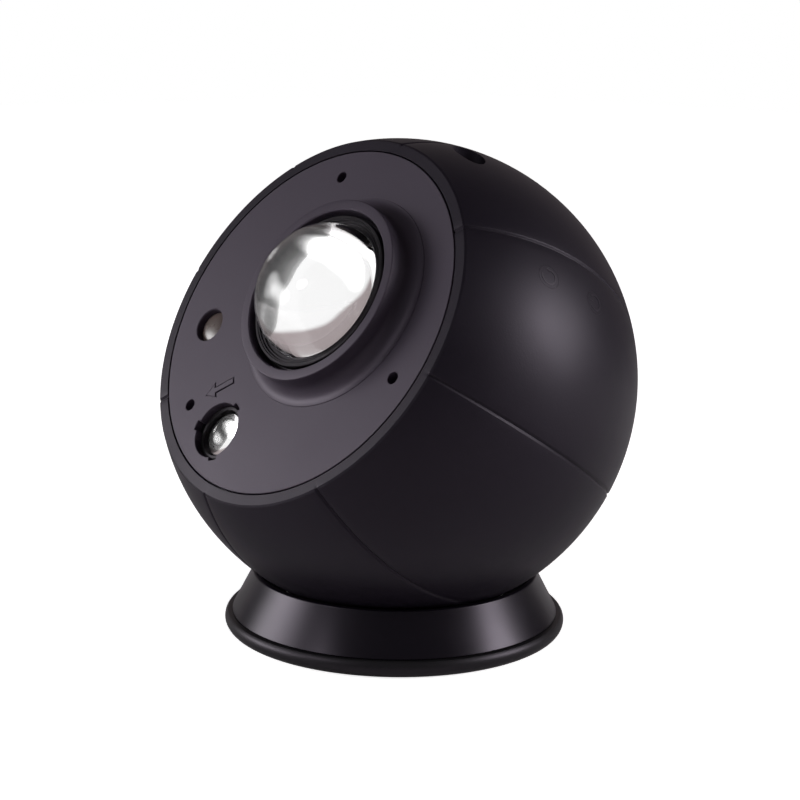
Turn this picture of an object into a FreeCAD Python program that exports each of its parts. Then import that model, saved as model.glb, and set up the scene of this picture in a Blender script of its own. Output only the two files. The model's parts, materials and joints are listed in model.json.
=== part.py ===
import FreeCAD, Part
import math
import os

V = FreeCAD.Vector

# Home planetarium projector: a ball with a flat lens face, resting loosely in a conical ring.
# Millimetres. World frame: origin at the middle of the foot, +Z up, the lens looks towards -Y.
# Ball frame: origin at the ball's centre, z along the lens axis towards the viewer,
# y towards the lens side of the parting line, x to the right when the ball is seen from the front.

# ---- how the ball lies in its ring ---------------------------------------------------------------
lens_elevation = 31.1      # degrees above the horizon
ball_roll = -53.5          # degrees about the lens axis, from parting line upright

# ---- base: conical ring, rubber foot, seat liner -------------------------------------------------
foot_bead_radius = 2.94
foot_bead_lean = 48.0      # degrees of bead showing above its widest point
foot_floor = 1.8
foot_inner_wall = 1.7
foot_inner_height = 4.2
skirt_wall = 2.0
skirt_fit = 0.1
seat_radius = 42.5         # inner top edge of the liner
liner_top_width = 1.1
liner_height = 3.0
liner_side_clearance = 0.3
liner_floor_clearance = 0.1
liner_drop = 0.63          # liner top below the rim of the cone
ball_clearance = 0.3       # ball to liner
rim_wall = 1.69
rim_edge_radius = 0.6
cone_height = 13.2
cone_spread = 6.44
cone_wall = 2.4
cone_edge = 0.4
skirt_inset = 0.7          # foot of the cone's edge to the foot ring
foot_bead_inset = 0.54     # middle of the bead inside the foot of the cone
ledge_thickness = 2.0
ledge_to_ball = 0.6
gusset_count = 10
gusset_thickness = 1.6
gusset_drop = 5.5
gusset_inset = 1.0

# ---- ball shells ---------------------------------------------------------------------------------
ball_radius = 75.0
shell_wall = 2.6
face_height = 44.8         # centre of the ball to the flat face
face_rim_width = 3.5
face_rim_edge = 0.35
plate_gap = 0.45
plate_thickness = 2.5
ledge_width = 3.2
face_ledge_thickness = 3.0
groove_depth = 0.5
groove_count = 8           # meridian lines, the parting line taking two of them
tongue_thickness = 1.1
tongue_length = 1.6
tongue_fit = 0.12
tongue_face_gap = 6.3      # the tongue stops this far behind the ledge of the face plate
tongue_inlet_gap = 4.0     # and this far from the inlet's recess
groove_pole_gap = 4.0      # the grooves stop this far from the rear pole
shell_screw_inset = 11.95  # axes of the shell screws inside the ball's surface
shell_screw_polars = [62.1, -62.1, 114.8, -114.8]      # degrees from the lens axis, in the parting plane
pocket_radius = 4.7
pocket_wall = 1.8
pocket_floor_x = 14.0
pocket_floor_thickness = 3.0
shell_screw_radius = 1.45
shell_screw_head_radius = 2.8
shell_screw_head_height = 2.0
shell_screw_length = 16.0
screw_fit = 0.05
spigot_radius = 4.0        # right shell's boss, which enters the left shell's sleeve

# ---- face plate ----------------------------------------------------------------------------------
lens_offset = 11.6         # lens axis above the centre of the face
collar_height = 8.5
collar_wall = 3.3          # round the bore, at the front
collar_edge = 0.4
collar_flare = 5.2
collar_lip_chamfer = 0.35
collar_bore_gap = 0.5      # front of the bore, round the barrel
collar_bore_depth = 6.0
bore_tube_wall = 2.6
face_screw_inset = 8.25    # from the plate's edge
face_screw_angles = [38.9, 157.0, 279.7]
face_screw_hole_radius = 1.8
face_screw_boss_radius = 3.6
face_screw_boss_height = 6.3
face_screw_floor = 2.0
face_screw_radius = 1.0
face_screw_head_radius = 1.6
face_screw_head_height = 1.5
face_screw_length = 10.0
face_boss_length = 14.0
face_boss_radius = 3.2
face_boss_web = 2.0
post_circle_radius = 38.5
post_angles = [60.0, 180.0, 270.0]     # the last stands between the two small windows
post_radius = 3.2
arrow_from_meteor = (-14.3, 7.7)       # its tail, from the shooting-star lens
arrow_length = 11.0
arrow_width = 1.7
arrow_head_width = 4.7
arrow_head_length = 3.5
arrow_height = 0.4

# ---- focusing barrel -----------------------------------------------------------------------------
barrel_radius = 25.5
barrel_clearance = 0.08
barrel_front_above_face = 7.3
barrel_nose_step = 0.9
barrel_nose_length = 2.6
barrel_length = 24.0
lens_bore_wall = 1.0           # round the front lens, at the nose
lens_fit = 0.1
front_lens_rim_width = 2.45    # flat rim round the dome
front_lens_dome_height = 16.9
front_lens_below_nose = 1.3    # dome's edge below the front of the barrel
front_lens_edge = 2.5
front_lens_seat_width = 1.9
front_lens_seat_taper = 2.0
retainer_height = 1.05
retainer_steps = 3
rear_lens_wall = 8.0           # from its bore to the outside of the barrel
rear_lens_edge = 2.2
rear_lens_dome = 3.4
rear_lens_depth = 13.5         # its front shoulder below the nose
rear_seat_width = 1.6
rear_seat_thickness = 1.2
rear_retainer_height = 2.0
rear_retainer_width = 2.0
seal_section_radius = 0.62
seal_from_rear = 8.0
seal_groove_width = 1.6

# ---- star disc and its turntable -----------------------------------------------------------------
film_radius = 21.5
film_thickness = 0.3
frame_outer_radius = 24.4
frame_thickness = 1.2
frame_window_radius = 20.2
carrier_depth = 28.8           # its front below the face
carrier_rim_radius = 27.0
carrier_floor = 1.6
carrier_end_gap = 0.4
carrier_thrust_gap = 0.3
seat_fit = 0.2
gear_teeth = 64
pinion_teeth = 12
gear_module = 1.0
pressure_angle = 20.0
gear_backlash = 0.16           # taken off each tooth's thickness
gear_thickness = 3.0
pinion_extra_thickness = 0.5
tooth_root_depth = 1.3
bearing_radius = 23.0
bearing_wall = 2.0
bearing_clearance = 0.08
bearing_end_gap = 0.6
sleeve_wall = 2.0
sleeve_length = 8.8

# ---- optical chassis, lamp and heat sink ---------------------------------------------------------
chassis_thickness = 2.5
chassis_radius = 34.0
chassis_lobe_radius = 5.6
condenser_front_edge = 1.5
condenser_front_dome = 6.4
condenser_seat_width = 1.6
dome_rim_width = 0.4           # flat rim round each condenser's dome
lamp_wall = 2.0
lamp_step = 1.5                # the lamp tube is this much wider than the condenser
lamp_length = 16.0
lamp_flange_radius = 27.2
lamp_flange_thickness = 2.2
lamp_screw_angles = [90.0, 210.0, 330.0]
lamp_screw_inset = 1.9
lamp_screw_radius = 0.9
lamp_screw_head_radius = 1.6
lamp_screw_head_height = 1.2
lamp_screw_length = 4.4
condenser_rear_radius = 16.0
condenser_rear_edge = 1.4
condenser_rear_dome = 4.5
condenser_rear_depth = 4.0     # its shelf below the lamp flange
shelf_thickness = 1.4
shelf_width = 1.4
sink_base_thickness = 4.0
sink_radius = 24.0
fin_count = 9
fin_thickness = 1.4
fin_height = 18.0
sink_rim_width = 2.6
sink_screw_gap = 0.6           # from the lamp tube to the screw
sink_head_gap = 0.4
sink_screw_angles = [0.0, 180.0]
sink_screw_radius = 1.0
sink_screw_head_radius = 1.8
sink_screw_head_height = 1.4
sink_screw_length = 8.0
led_board_radius = 10.0
led_notch_radius = 1.6
led_notch_count = 6
board_thickness = 1.6
led_side = 7.0
led_height = 0.9
led_dome_radius = 2.9

# ---- disc drive ----------------------------------------------------------------------------------
motor_radius = 10.0
motor_length = 15.0
motor_plug = (6.0, 4.0, 6.0)
motor_plug_sunk = 2.0
motor_boss_radius = 3.6
motor_boss_fit = 0.15
motor_ear_reach = 13.5
motor_ear_radius = 3.4
motor_ear_thickness = 1.2
motor_screw_radius = 1.2
motor_screw_head_radius = 2.2
motor_screw_head_height = 1.5
shaft_radius = 1.5
shaft_clearance = 0.06
shaft_in_motor = 4.0
pinion_hub_radius = 3.2

# ---- shooting-star projector ---------------------------------------------------------------------
meteor_from_edge = 13.16       # its axis inside the edge of the face plate
meteor_direction = -58.64      # degrees
meteor_hole_radius = 8.8
meteor_cell_fit = 0.25
meteor_cell_wall = 1.15
meteor_cell_below_face = 2.2
meteor_cell_length = 9.4
meteor_notch_reach = 1.2
meteor_notch_width = 3.0
meteor_notch_angles = [115.5, 235.0, 347.0]    # unequal, so that the cell enters one way only
meteor_turn = 40.0
meteor_tab_fit = 0.3
meteor_tab_thickness = 1.5
meteor_tab_under_plate = 0.1
meteor_lens_depth = 5.2        # lens edge below the face
meteor_lens_edge = 1.8
meteor_lens_dome = 4.0
meteor_lens_seat = 1.1
meteor_tube_wall = 1.9
meteor_tube_gap = 0.1          # tabs to the tube
meteor_tube_clearance = 0.4    # tube to the ledge of the shell
meteor_tube_length = 22.3
meteor_shelf_depth = 9.3
meteor_shelf_thickness = 1.5
meteor_shelf_width = 2.0
meteor_film_thickness = 1.0
meteor_rear_bore_radius = 8.5
meteor_led_radius = 2.5
meteor_led_height = 3.4
meteor_led_flange = (0.4, 1.0)     # width and thickness

# ---- remote receiver -----------------------------------------------------------------------------
receiver_from_edge = 14.2
receiver_direction = -115.2    # degrees
receiver_hole_radius = 5.4
receiver_window_flange = 1.3
receiver_window_fit = 0.2
receiver_dome_height = 1.4
receiver_socket_wall = 1.6
receiver_socket_height = 4.1
receiver_chip = (4.6, 3.0, 2.2)

# ---- push buttons --------------------------------------------------------------------------------
button_radius = 3.6
button_gap = 0.15
button_polar = 81.3            # degrees from the lens axis, middle of the pair
button_azimuth = 8.75          # degrees right of the parting line
button_spacing = 19.5
button_flange = 1.2
button_flange_thickness = 1.0
button_flange_drop = 0.6       # flange top below the inside of the shell
button_stem_radius = 1.5
button_stem_length = 2.7
button_travel = 0.8
plunger_radius = 1.6
plunger_fit = 0.1
plunger_length = 2.3
switch_side = 6.0
switch_height = 3.5
switch_top_overlap = 1.3       # plunger length inside the switch
switch_floor_gap = 0.2
button_board_width = 12.0
button_board_front = 14.0
button_board_rear = 22.5
button_post_places = [0.0, 18.5]
button_post_radius = 2.4
small_screw_radius = 0.8
small_screw_head_radius = 1.6
small_screw_head_height = 1.1
small_screw_length = 6.0

# ---- main board and power inlet ------------------------------------------------------------------
main_board_depth = 32.4        # below the inside of the shell
main_board_edge = 24.4         # its edge inside the shell's radius
main_board_width = 30.0
main_board_length = 44.0
main_board_front = 10.0
main_post_inset = 3.5
main_post_radius = 2.8
controller_corner = (9.0, 7.0)         # each from the board's rear corner
controller_size = (1.2, 7.0, 7.0)
driver_corner = (9.0, 20.0)
driver_size = (1.5, 5.0, 5.0)
inductor_corner = (20.0, 33.0)
inductor_size = (4.5, 6.0, 6.0)
relay_corner = (20.0, 8.0)
relay_size = (5.0, 7.0, 7.0)
capacitor_places = [(24.5, 20.0), (24.5, 28.0)]
capacitor_radius = 3.0
capacitor_height = 8.0
plug_corners = [(2.0, 14.0), (2.0, 26.0)]
plug_size = (5.0, 4.0, 9.0)
inlet_polar = 130.0            # degrees from the lens axis, on the lens side of the parting line
inlet_recess_radius = 6.5
inlet_recess_depth = 2.4
inlet_pad_thickness = 1.8
inlet_nose_radius = 4.0
inlet_nose_fit = 0.1
inlet_mouth_radius = 2.85
inlet_pin_radius = 1.05
inlet_mouth_depth = 9.0
inlet_nose_stand = 0.6         # nose above the floor of its recess
inlet_pin_drop = 1.0
inlet_body_side = 9.6
inlet_body_length = 12.0

run_in = 0.5                   # how far one half of a solid runs into the next where they are joined
turned_seam = 20.0             # degrees; where a turned surface closes, clear of flats and the parting plane
screw_tip_gap = 1.0

# ---- worked out from the sizes above -------------------------------------------------------------
bead_top = foot_bead_radius * (1 + math.sin(math.radians(foot_bead_lean)))
cone_foot = bead_top
rim_top = cone_foot + cone_height
liner_top = rim_top - liner_drop
liner_bottom = liner_top - liner_height
liner_outer_radius = seat_radius + liner_top_width
rim_inner_radius = liner_outer_radius + liner_side_clearance
cone_top_radius = rim_inner_radius + rim_wall
cone_foot_radius = cone_top_radius + cone_spread
base_ledge_top = liner_bottom - liner_floor_clearance
seat_sphere_radius = ball_radius + ball_clearance
ball_centre_height = liner_top + math.sqrt(seat_sphere_radius ** 2 - seat_radius ** 2)
skirt_outer_radius = cone_foot_radius - cone_edge - skirt_fit - skirt_inset
foot_bead_centre_radius = cone_foot_radius - foot_bead_inset

shell_inner_radius = ball_radius - shell_wall
face_radius = math.sqrt(ball_radius ** 2 - face_height ** 2)
plate_well_radius = face_radius - face_rim_width
plate_radius = plate_well_radius - plate_gap
plate_back = face_height - plate_thickness
ledge_inner_radius = plate_well_radius - ledge_width
face_ledge_back = plate_back - face_ledge_thickness
face_screw_circle = plate_radius - face_screw_inset
tongue_front = face_ledge_back - tongue_face_gap
shell_screw_circle = ball_radius - shell_screw_inset
shell_screw_turns = [math.radians(a) for a in shell_screw_polars]
shell_screws_yz = [(shell_screw_circle * math.sin(a), shell_screw_circle * math.cos(a))
                   for a in shell_screw_turns]

collar_front = face_height + collar_height
collar_bore_radius = barrel_radius + collar_bore_gap
collar_radius = collar_bore_radius + collar_wall
barrel_nose_radius = barrel_radius - barrel_nose_step
lens_bore_radius = barrel_nose_radius - lens_bore_wall
front_lens_dome_radius = lens_bore_radius - front_lens_rim_width
rear_lens_radius = barrel_radius - rear_lens_wall - lens_fit
carrier_front = face_height - carrier_depth
barrel_front = face_height + barrel_front_above_face
barrel_rear = barrel_front - barrel_length
tube_bore_radius = barrel_radius + barrel_clearance
tube_radius = tube_bore_radius + bore_tube_wall
tube_rear = carrier_front + carrier_end_gap
lens_seat_z = barrel_front - front_lens_below_nose - front_lens_edge
front_lens_rim_z = barrel_front - front_lens_below_nose

frame_seat_z = carrier_front - frame_thickness - seat_fit
carrier_back = frame_seat_z - carrier_floor
gear_pitch_radius = gear_module * gear_teeth / 2
pinion_pitch_radius = gear_module * pinion_teeth / 2
drive_centre_distance = gear_pitch_radius + pinion_pitch_radius
gear_back = carrier_back - gear_thickness
sleeve_bore_radius = bearing_radius + bearing_clearance
sleeve_end = carrier_back - sleeve_length
chassis_front = sleeve_end - carrier_thrust_gap
chassis_back = chassis_front - chassis_thickness
condenser_bore_radius = bearing_radius - bearing_wall
drive_centre = (drive_centre_distance, lens_offset)

lamp_outer_radius = condenser_bore_radius + lamp_step
lamp_bore_radius = lamp_outer_radius - lamp_wall
lamp_rear = chassis_back - lamp_length
sink_back = lamp_rear - sink_base_thickness

meteor_angle = math.radians(meteor_direction)
meteor_circle = plate_radius - meteor_from_edge
meteor_centre = (meteor_circle * math.cos(meteor_angle), meteor_circle * math.sin(meteor_angle))
meteor_cell_radius = meteor_hole_radius - meteor_cell_fit
meteor_cell_bore = meteor_cell_radius - meteor_cell_wall
meteor_notch_radius = meteor_hole_radius + meteor_notch_reach
meteor_tab_radius = meteor_notch_radius - meteor_tab_fit
meteor_tube_bore = meteor_notch_radius + meteor_tube_gap
meteor_tube_radius = meteor_tube_bore + meteor_tube_wall
meteor_tube_rear = plate_back - meteor_tube_length
arrow_tail = (meteor_centre[0] + arrow_from_meteor[0], meteor_centre[1] + arrow_from_meteor[1])

receiver_angle = math.radians(receiver_direction)
receiver_circle = plate_radius - receiver_from_edge
receiver_centre = (receiver_circle * math.cos(receiver_angle), receiver_circle * math.sin(receiver_angle))

main_board_x = shell_inner_radius - main_board_depth        # left of the parting plane
main_board_y = main_board_edge - shell_inner_radius
main_board_z = main_board_front - main_board_length


def place_of_ball():
    turn = FreeCAD.Rotation(V(1, 0, 0), 90 - lens_elevation)
    turn = turn.multiply(FreeCAD.Rotation(V(0, 0, 1), ball_roll))
    return FreeCAD.Placement(V(0, 0, ball_centre_height), turn)


# ---- drawing helpers -----------------------------------------------------------------------------
def on_circle(radius, degrees, cx=0.0, cy=0.0):
    a = math.radians(degrees)
    return (cx + radius * math.cos(a), cy + radius * math.sin(a))


def wire(outline, point):
    """A closed wire from corners; a pair of points is an arc through the first to the second."""
    edges = []
    here = outline[0]
    for step in outline[1:] + [outline[0]]:
        if isinstance(step[0], tuple):
            middle, end = step
            edges.append(Part.Arc(point(here), point(middle), point(end)).toShape())
        else:
            end = step
            if math.dist(here, end) > 1e-6:
                edges.append(Part.LineSegment(point(here), point(end)).toShape())
        here = end
    return Part.Wire(edges)


def lathe(outline, x=0.0, y=0.0, start=turned_seam):
    """A solid turned about the line through (x, y) along z, from its half section in (radius, z)."""
    face = Part.Face(wire(outline, lambda p: V(p[0], 0, p[1])))
    solid = face.revolve(V(0, 0, 0), V(0, 0, 1), 360)
    solid.rotate(V(0, 0, 0), V(0, 0, 1), start)
    return solid.translated(V(x, y, 0))


def slab(outline, z_low, z_high):
    """A solid with a flat outline in (x, y), from z_low to z_high."""
    face = Part.Face(wire(outline, lambda p: V(p[0], p[1], z_low)))
    return face.extrude(V(0, 0, z_high - z_low))


def disc(radius, z_low, z_high, x=0.0, y=0.0):
    return Part.makeCylinder(radius, z_high - z_low, V(x, y, z_low))


def tube(outer, inner, z_low, z_high, x=0.0, y=0.0):
    return disc(outer, z_low, z_high, x, y).cut(disc(inner, z_low, z_high, x, y))


def dome(radius, height, z, x=0.0, y=0.0):
    """Half a spheroid standing on the plane z; a negative height hangs below it."""
    ellipse = Part.Ellipse(V(radius, 0, 0), V(0, 0, abs(height)), V(0, 0, 0))
    arc = Part.ArcOfEllipse(ellipse, 0, math.pi / 2).toShape()
    base = Part.LineSegment(V(0, 0, 0), V(radius, 0, 0)).toShape()
    side = Part.LineSegment(V(0, 0, abs(height)), V(0, 0, 0)).toShape()
    solid = Part.Face(Part.Wire([base, arc, side])).revolve(V(0, 0, 0), V(0, 0, 1), 360)
    if height < 0:
        solid.rotate(V(0, 0, 0), V(1, 0, 0), 180)
    return solid.translated(V(x, y, z))


def fuse(shapes):
    whole = shapes[0].multiFuse(shapes[1:]) if len(shapes) > 1 else shapes[0]
    return whole.removeSplitter()


def rod_x(radius, x_low, x_high, y, z):
    return Part.makeCylinder(radius, x_high - x_low, V(x_low, y, z), V(1, 0, 0))


def pan_screw(radius, length, head_radius, head_height):
    """Pan head above z = 0 with a cross recess, shank below it."""
    shank = Part.makeCylinder(radius, length, V(0, 0, -length))
    edge = 0.35 * head_height
    head = lathe([(0, 0), (head_radius, 0), (head_radius, head_height - edge),
                  (on_circle(edge, 45, head_radius - edge, head_height - edge),
                   (head_radius - edge, head_height)), (0, head_height)])
    slot = Part.makeBox(1.3 * head_radius, 0.28 * head_radius, head_height,
                        V(-0.65 * head_radius, -0.14 * head_radius, 0.5 * head_height))
    cross = slot.fuse(slot.rotated(V(0, 0, 0), V(0, 0, 1), 90))
    return shank.fuse(head).removeSplitter().cut(cross)


def aimed(shape, base, direction):
    """The shape with its z axis laid along direction, from base."""
    turn = FreeCAD.Rotation(V(0, 0, 1), direction)
    moved = shape.copy()
    moved.Placement = FreeCAD.Placement(base, turn).multiply(moved.Placement)
    return moved


# ---- base ----------------------------------------------------------------------------------------
def ball_section(z, radius):
    """Radius of a sphere about the ball's centre at a height above the floor."""
    return math.sqrt(radius ** 2 - (ball_centre_height - z) ** 2)


def make_base_ring():
    ledge_bottom = base_ledge_top - ledge_thickness
    ledge_inner = ball_section(base_ledge_top, ball_radius) + ledge_to_ball
    slope = cone_spread / cone_height
    wall_at_ledge = cone_top_radius + slope * (rim_top - ledge_bottom) - cone_wall
    wall_at_foot = cone_foot_radius - cone_wall
    skirt_inner = skirt_outer_radius - skirt_wall
    edge_height = rim_top - rim_edge_radius
    corner = on_circle(rim_edge_radius, 45, cone_top_radius - rim_edge_radius, edge_height)
    ring = lathe([
        (skirt_inner, foot_floor), (skirt_outer_radius, foot_floor), (skirt_outer_radius, cone_foot),
        (cone_foot_radius - cone_edge, cone_foot), (cone_foot_radius, cone_foot + cone_edge),
        (cone_top_radius, edge_height), (corner, (cone_top_radius - rim_edge_radius, rim_top)),
        (rim_inner_radius, rim_top), (rim_inner_radius, base_ledge_top), (ledge_inner, base_ledge_top),
        (ledge_inner, ledge_bottom), (wall_at_ledge, ledge_bottom), (wall_at_foot, cone_foot),
        (skirt_inner, cone_foot - cone_edge)])
    gusset = wire([
        (ledge_inner + gusset_inset, ledge_bottom + run_in),
        (wall_at_ledge + 2 * run_in, ledge_bottom + run_in),
        (wall_at_foot + 2 * run_in, ledge_bottom - gusset_drop),
        (wall_at_foot - gusset_inset, ledge_bottom - gusset_drop)],
        lambda p: V(p[0], -gusset_thickness / 2, p[1]))
    gusset = Part.Face(gusset).extrude(V(0, gusset_thickness, 0))
    gussets = [gusset.rotated(V(0, 0, 0), V(0, 0, 1), 360 * i / gusset_count) for i in range(gusset_count)]
    return fuse([ring] + gussets)


def make_foot_ring():
    inner_side = skirt_outer_radius - skirt_wall - skirt_fit
    outer_side = skirt_outer_radius + skirt_fit
    r, c = foot_bead_radius, foot_bead_centre_radius
    return lathe([
        (inner_side - foot_inner_wall, 0), (c, 0),
        (on_circle(r, -20, c, r), on_circle(r, foot_bead_lean, c, r)),
        (outer_side, bead_top), (outer_side, foot_floor), (inner_side, foot_floor),
        (inner_side, foot_inner_height), (inner_side - foot_inner_wall, foot_inner_height)])


def make_seat_liner():
    low = ball_section(liner_bottom, seat_sphere_radius)
    middle = (liner_bottom + liner_top) / 2
    return lathe([
        (liner_outer_radius, liner_bottom), (liner_outer_radius, liner_top), (seat_radius, liner_top),
        ((ball_section(middle, seat_sphere_radius), middle), (low, liner_bottom))])


# ---- ball shells ---------------------------------------------------------------------------------
def sphere(radius):
    """Sphere about the ball's centre, its own poles and seam kept midway between two grooves."""
    a = math.radians(180 / groove_count)
    axis = V(math.cos(a), math.sin(a), 0)
    return Part.makeSphere(radius, V(0, 0, 0), axis, -90, 90, 360).rotated(V(0, 0, 0), axis, -90)


def groove_ring():
    """Ring with a V section that scores the ball in the plane x = 0, all but the rear pole."""
    out = groove_depth
    profile = [(0, ball_radius - groove_depth), (groove_depth + out, ball_radius + out),
               (-groove_depth - out, ball_radius + out)]
    face = Part.Face(wire(profile, lambda p: V(p[0], 0, p[1])))
    ring = face.revolve(V(0, 0, 0), V(1, 0, 0), 360)
    return ring.cut(disc(groove_pole_gap, -2 * ball_radius, 0))


def shell_blank():
    """Hollow ball cut off by the face, with the well and ledge that take the face plate."""
    middle = ball_radius - shell_wall / 2
    top = math.sqrt(middle ** 2 - face_height ** 2)
    under = math.sqrt(middle ** 2 - face_ledge_back ** 2)
    ledge = lathe([
        (plate_well_radius, face_height), (top, face_height), (under, face_ledge_back),
        (ledge_inner_radius, face_ledge_back), (ledge_inner_radius, plate_back),
        (plate_well_radius, plate_back)])
    edge = face_rim_edge
    chamfer = lathe([(face_radius - edge, face_height), (face_radius + edge, face_height - 2 * edge),
                     (face_radius + edge, face_height)])
    front = disc(ball_radius, face_height, 2 * ball_radius)
    hollow = sphere(ball_radius).cut([sphere(shell_inner_radius), front])
    return hollow.fuse(ledge).removeSplitter().cut(chamfer)


def half_space(side):
    reach = 2 * ball_radius
    return Part.makeBox(reach, 2 * reach, 2 * reach, V(0 if side > 0 else -reach, -reach, -reach))


def inside_wall():
    """The ball's inside with half the wall, which clips bosses so that they merge with the shell."""
    return sphere(ball_radius - shell_wall / 2)


def tongue_layer(side_gap, depth):
    """A thin layer on the inside of the shell, one side of the parting plane, for the tongue or its slot."""
    inner = shell_inner_radius - side_gap
    outer = shell_inner_radius + tongue_thickness + side_gap
    reach = 2 * ball_radius
    band = Part.makeBox(depth, 2 * reach, reach + tongue_front + side_gap, V(-depth, -reach, -reach))
    gap = inlet_recess_radius + tongue_inlet_gap - side_gap
    round_inlet = Part.makeCylinder(gap, reach, V(0, 0, 0), inlet_direction())
    return sphere(outer).cut([sphere(inner), round_inlet]).common(band)


def face_boss(angle):
    """Screw boss for the face plate, joined to the shell by a radial web."""
    x, y = on_circle(face_screw_circle, angle)
    top = plate_back - face_screw_boss_height
    low = top - face_boss_length
    boss = disc(face_boss_radius, low, top, x, y)
    corner = V(face_screw_circle, -face_boss_web / 2, low)
    web = Part.makeBox(ball_radius, face_boss_web, face_boss_length, corner)
    web = web.rotated(V(0, 0, 0), V(0, 0, 1), angle)
    hole = disc(face_screw_radius + screw_fit, top - face_screw_length, top, x, y)
    return boss.fuse(web).common(inside_wall()).cut(hole)


def face_seam_score():
    """V score that carries the parting line across the flat rim."""
    d = groove_depth
    section = wire([(0, face_height - d), (2 * d, face_height + d), (-2 * d, face_height + d)],
                   lambda p: V(p[0], -face_radius - 1, p[1]))
    return Part.Face(section).extrude(V(0, 2 * face_radius + 2, 0))


def inlet_direction():
    a = math.radians(inlet_polar)
    return V(0, math.sin(a), math.cos(a))


def inlet_pad_back():
    """Distance from the ball's centre to the inner face of the inlet pad."""
    return math.sqrt(ball_radius ** 2 - inlet_recess_radius ** 2) - inlet_recess_depth - inlet_pad_thickness


def score_grooves(half):
    rings = []
    for i in range(groove_count // 2):
        rings.append(groove_ring().rotated(V(0, 0, 0), V(0, 0, 1), 360 * i / groove_count))
    return half.cut(rings + [face_seam_score()])


def open_inlet():
    """The dished recess of the power inlet, a flat pad behind it and the hole for the socket's nose."""
    d = inlet_direction()
    floor = inlet_pad_back() + inlet_pad_thickness
    pad = Part.makeCylinder(inlet_recess_radius + inlet_pad_thickness, ball_radius - inlet_pad_back(),
                            d * inlet_pad_back(), d).common(inside_wall())
    recess = Part.makeCylinder(inlet_recess_radius, ball_radius, d * floor, d)
    hole = Part.makeCylinder(inlet_nose_radius + inlet_nose_fit, ball_radius, d * (inlet_pad_back() - 1), d)
    return pad, [recess, hole]


def meteor_scallop():
    """Space for the shooting-star tube in the ledge under the face plate."""
    return disc(meteor_tube_radius + meteor_tube_clearance, meteor_tube_rear, plate_back, *meteor_centre)


def make_left_shell():
    side = half_space(-1)
    pad, inlet_cuts = open_inlet()
    adds = [pad]
    cuts = list(inlet_cuts)
    spigot_end = pocket_floor_thickness - pocket_floor_x
    for y, z in shell_screws_yz:
        adds.append(rod_x(pocket_radius + pocket_wall, -ball_radius, 0, y, z))
        cuts.append(rod_x(pocket_radius, -ball_radius, -pocket_floor_x, y, z))
        cuts.append(rod_x(shell_screw_radius + 2 * screw_fit, -pocket_floor_x, spigot_end, y, z))
        cuts.append(rod_x(pocket_radius, spigot_end, 1, y, z))
    pilot_end = -main_board_x - small_screw_length
    for y, z in main_board_corners():
        adds.append(rod_x(main_post_radius, -ball_radius, -main_board_x, y, z))
        cuts.append(rod_x(small_screw_radius + screw_fit, pilot_end, -main_board_x, y, z))
    adds = [a.common(inside_wall()).common(side) for a in adds]
    adds.append(face_boss(face_screw_angles[1]))
    cuts.append(tongue_layer(tongue_fit, tongue_length + tongue_fit))
    half = fuse([shell_blank().common(side)] + adds)
    return score_grooves(half.cut(cuts + [meteor_scallop()]))


def make_right_shell():
    side = half_space(1)
    pad, inlet_cuts = open_inlet()
    adds = [pad]
    cuts = list(inlet_cuts)
    spigot_end = pocket_floor_thickness - pocket_floor_x
    tip = shell_screw_length - pocket_floor_x + screw_tip_gap
    for y, z in shell_screws_yz:
        adds.append(rod_x(spigot_radius, 0, ball_radius, y, z))
        cuts.append(rod_x(shell_screw_radius + screw_fit, spigot_end, tip, y, z))
    spigots = [rod_x(spigot_radius, spigot_end, 1, y, z) for y, z in shell_screws_yz]
    m = button_axis()
    for along in (-button_spacing / 2, button_spacing / 2):
        foot = button_point(along, 0, 0)
        cuts.append(Part.makeCylinder(button_radius + button_gap, 2 * ball_radius, foot, m))
    pilot = small_screw_length - board_thickness
    for along in button_post_places:
        foot = button_point(along, 0, button_board_top())
        adds.append(Part.makeCylinder(button_post_radius, ball_radius, foot, m))
        cuts.append(Part.makeCylinder(small_screw_radius + screw_fit, pilot, foot, m))
    adds = [a.common(inside_wall()).common(side) for a in adds]
    adds += spigots
    adds += [face_boss(face_screw_angles[0]), face_boss(face_screw_angles[2]), tongue_layer(0, tongue_length)]
    half = fuse([shell_blank().common(side)] + adds)
    return score_grooves(half.cut(cuts + [meteor_scallop()]))


def make_shell_screws():
    screw = pan_screw(shell_screw_radius, shell_screw_length, shell_screw_head_radius, shell_screw_head_height)
    return [aimed(screw, V(-pocket_floor_x, y, z), V(-1, 0, 0)) for y, z in shell_screws_yz]


# ---- face plate ----------------------------------------------------------------------------------
def face_screw_places():
    return [on_circle(face_screw_circle, a) for a in face_screw_angles]


def post_places():
    return [on_circle(post_circle_radius, a, 0, lens_offset) for a in post_angles]


def meteor_notches(radius, width, z_low, z_high, turn):
    """Three radial bars about the shooting-star lens, for the notches or the tabs."""
    bars = []
    for angle in meteor_notch_angles:
        bar = Part.makeBox(radius, width, z_high - z_low, V(0, -width / 2, z_low))
        bar = bar.rotated(V(0, 0, 0), V(0, 0, 1), angle + turn)
        bars.append(bar.translated(V(meteor_centre[0], meteor_centre[1], 0)))
    keep = disc(radius, z_low, z_high, meteor_centre[0], meteor_centre[1])
    return fuse(bars).common(keep)


def arrow():
    """Raised arrow that shows which way the shooting-star lens turns to come out."""
    x, y = arrow_tail
    tip = y - arrow_length
    neck = tip + arrow_head_length
    half, wing = arrow_width / 2, arrow_head_width / 2
    outline = [(x - half, y), (x - half, neck), (x - wing, neck), (x, tip), (x + wing, neck), (x + half, neck),
               (x + half, y)]
    return slab(outline, plate_back, face_height + arrow_height)


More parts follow.
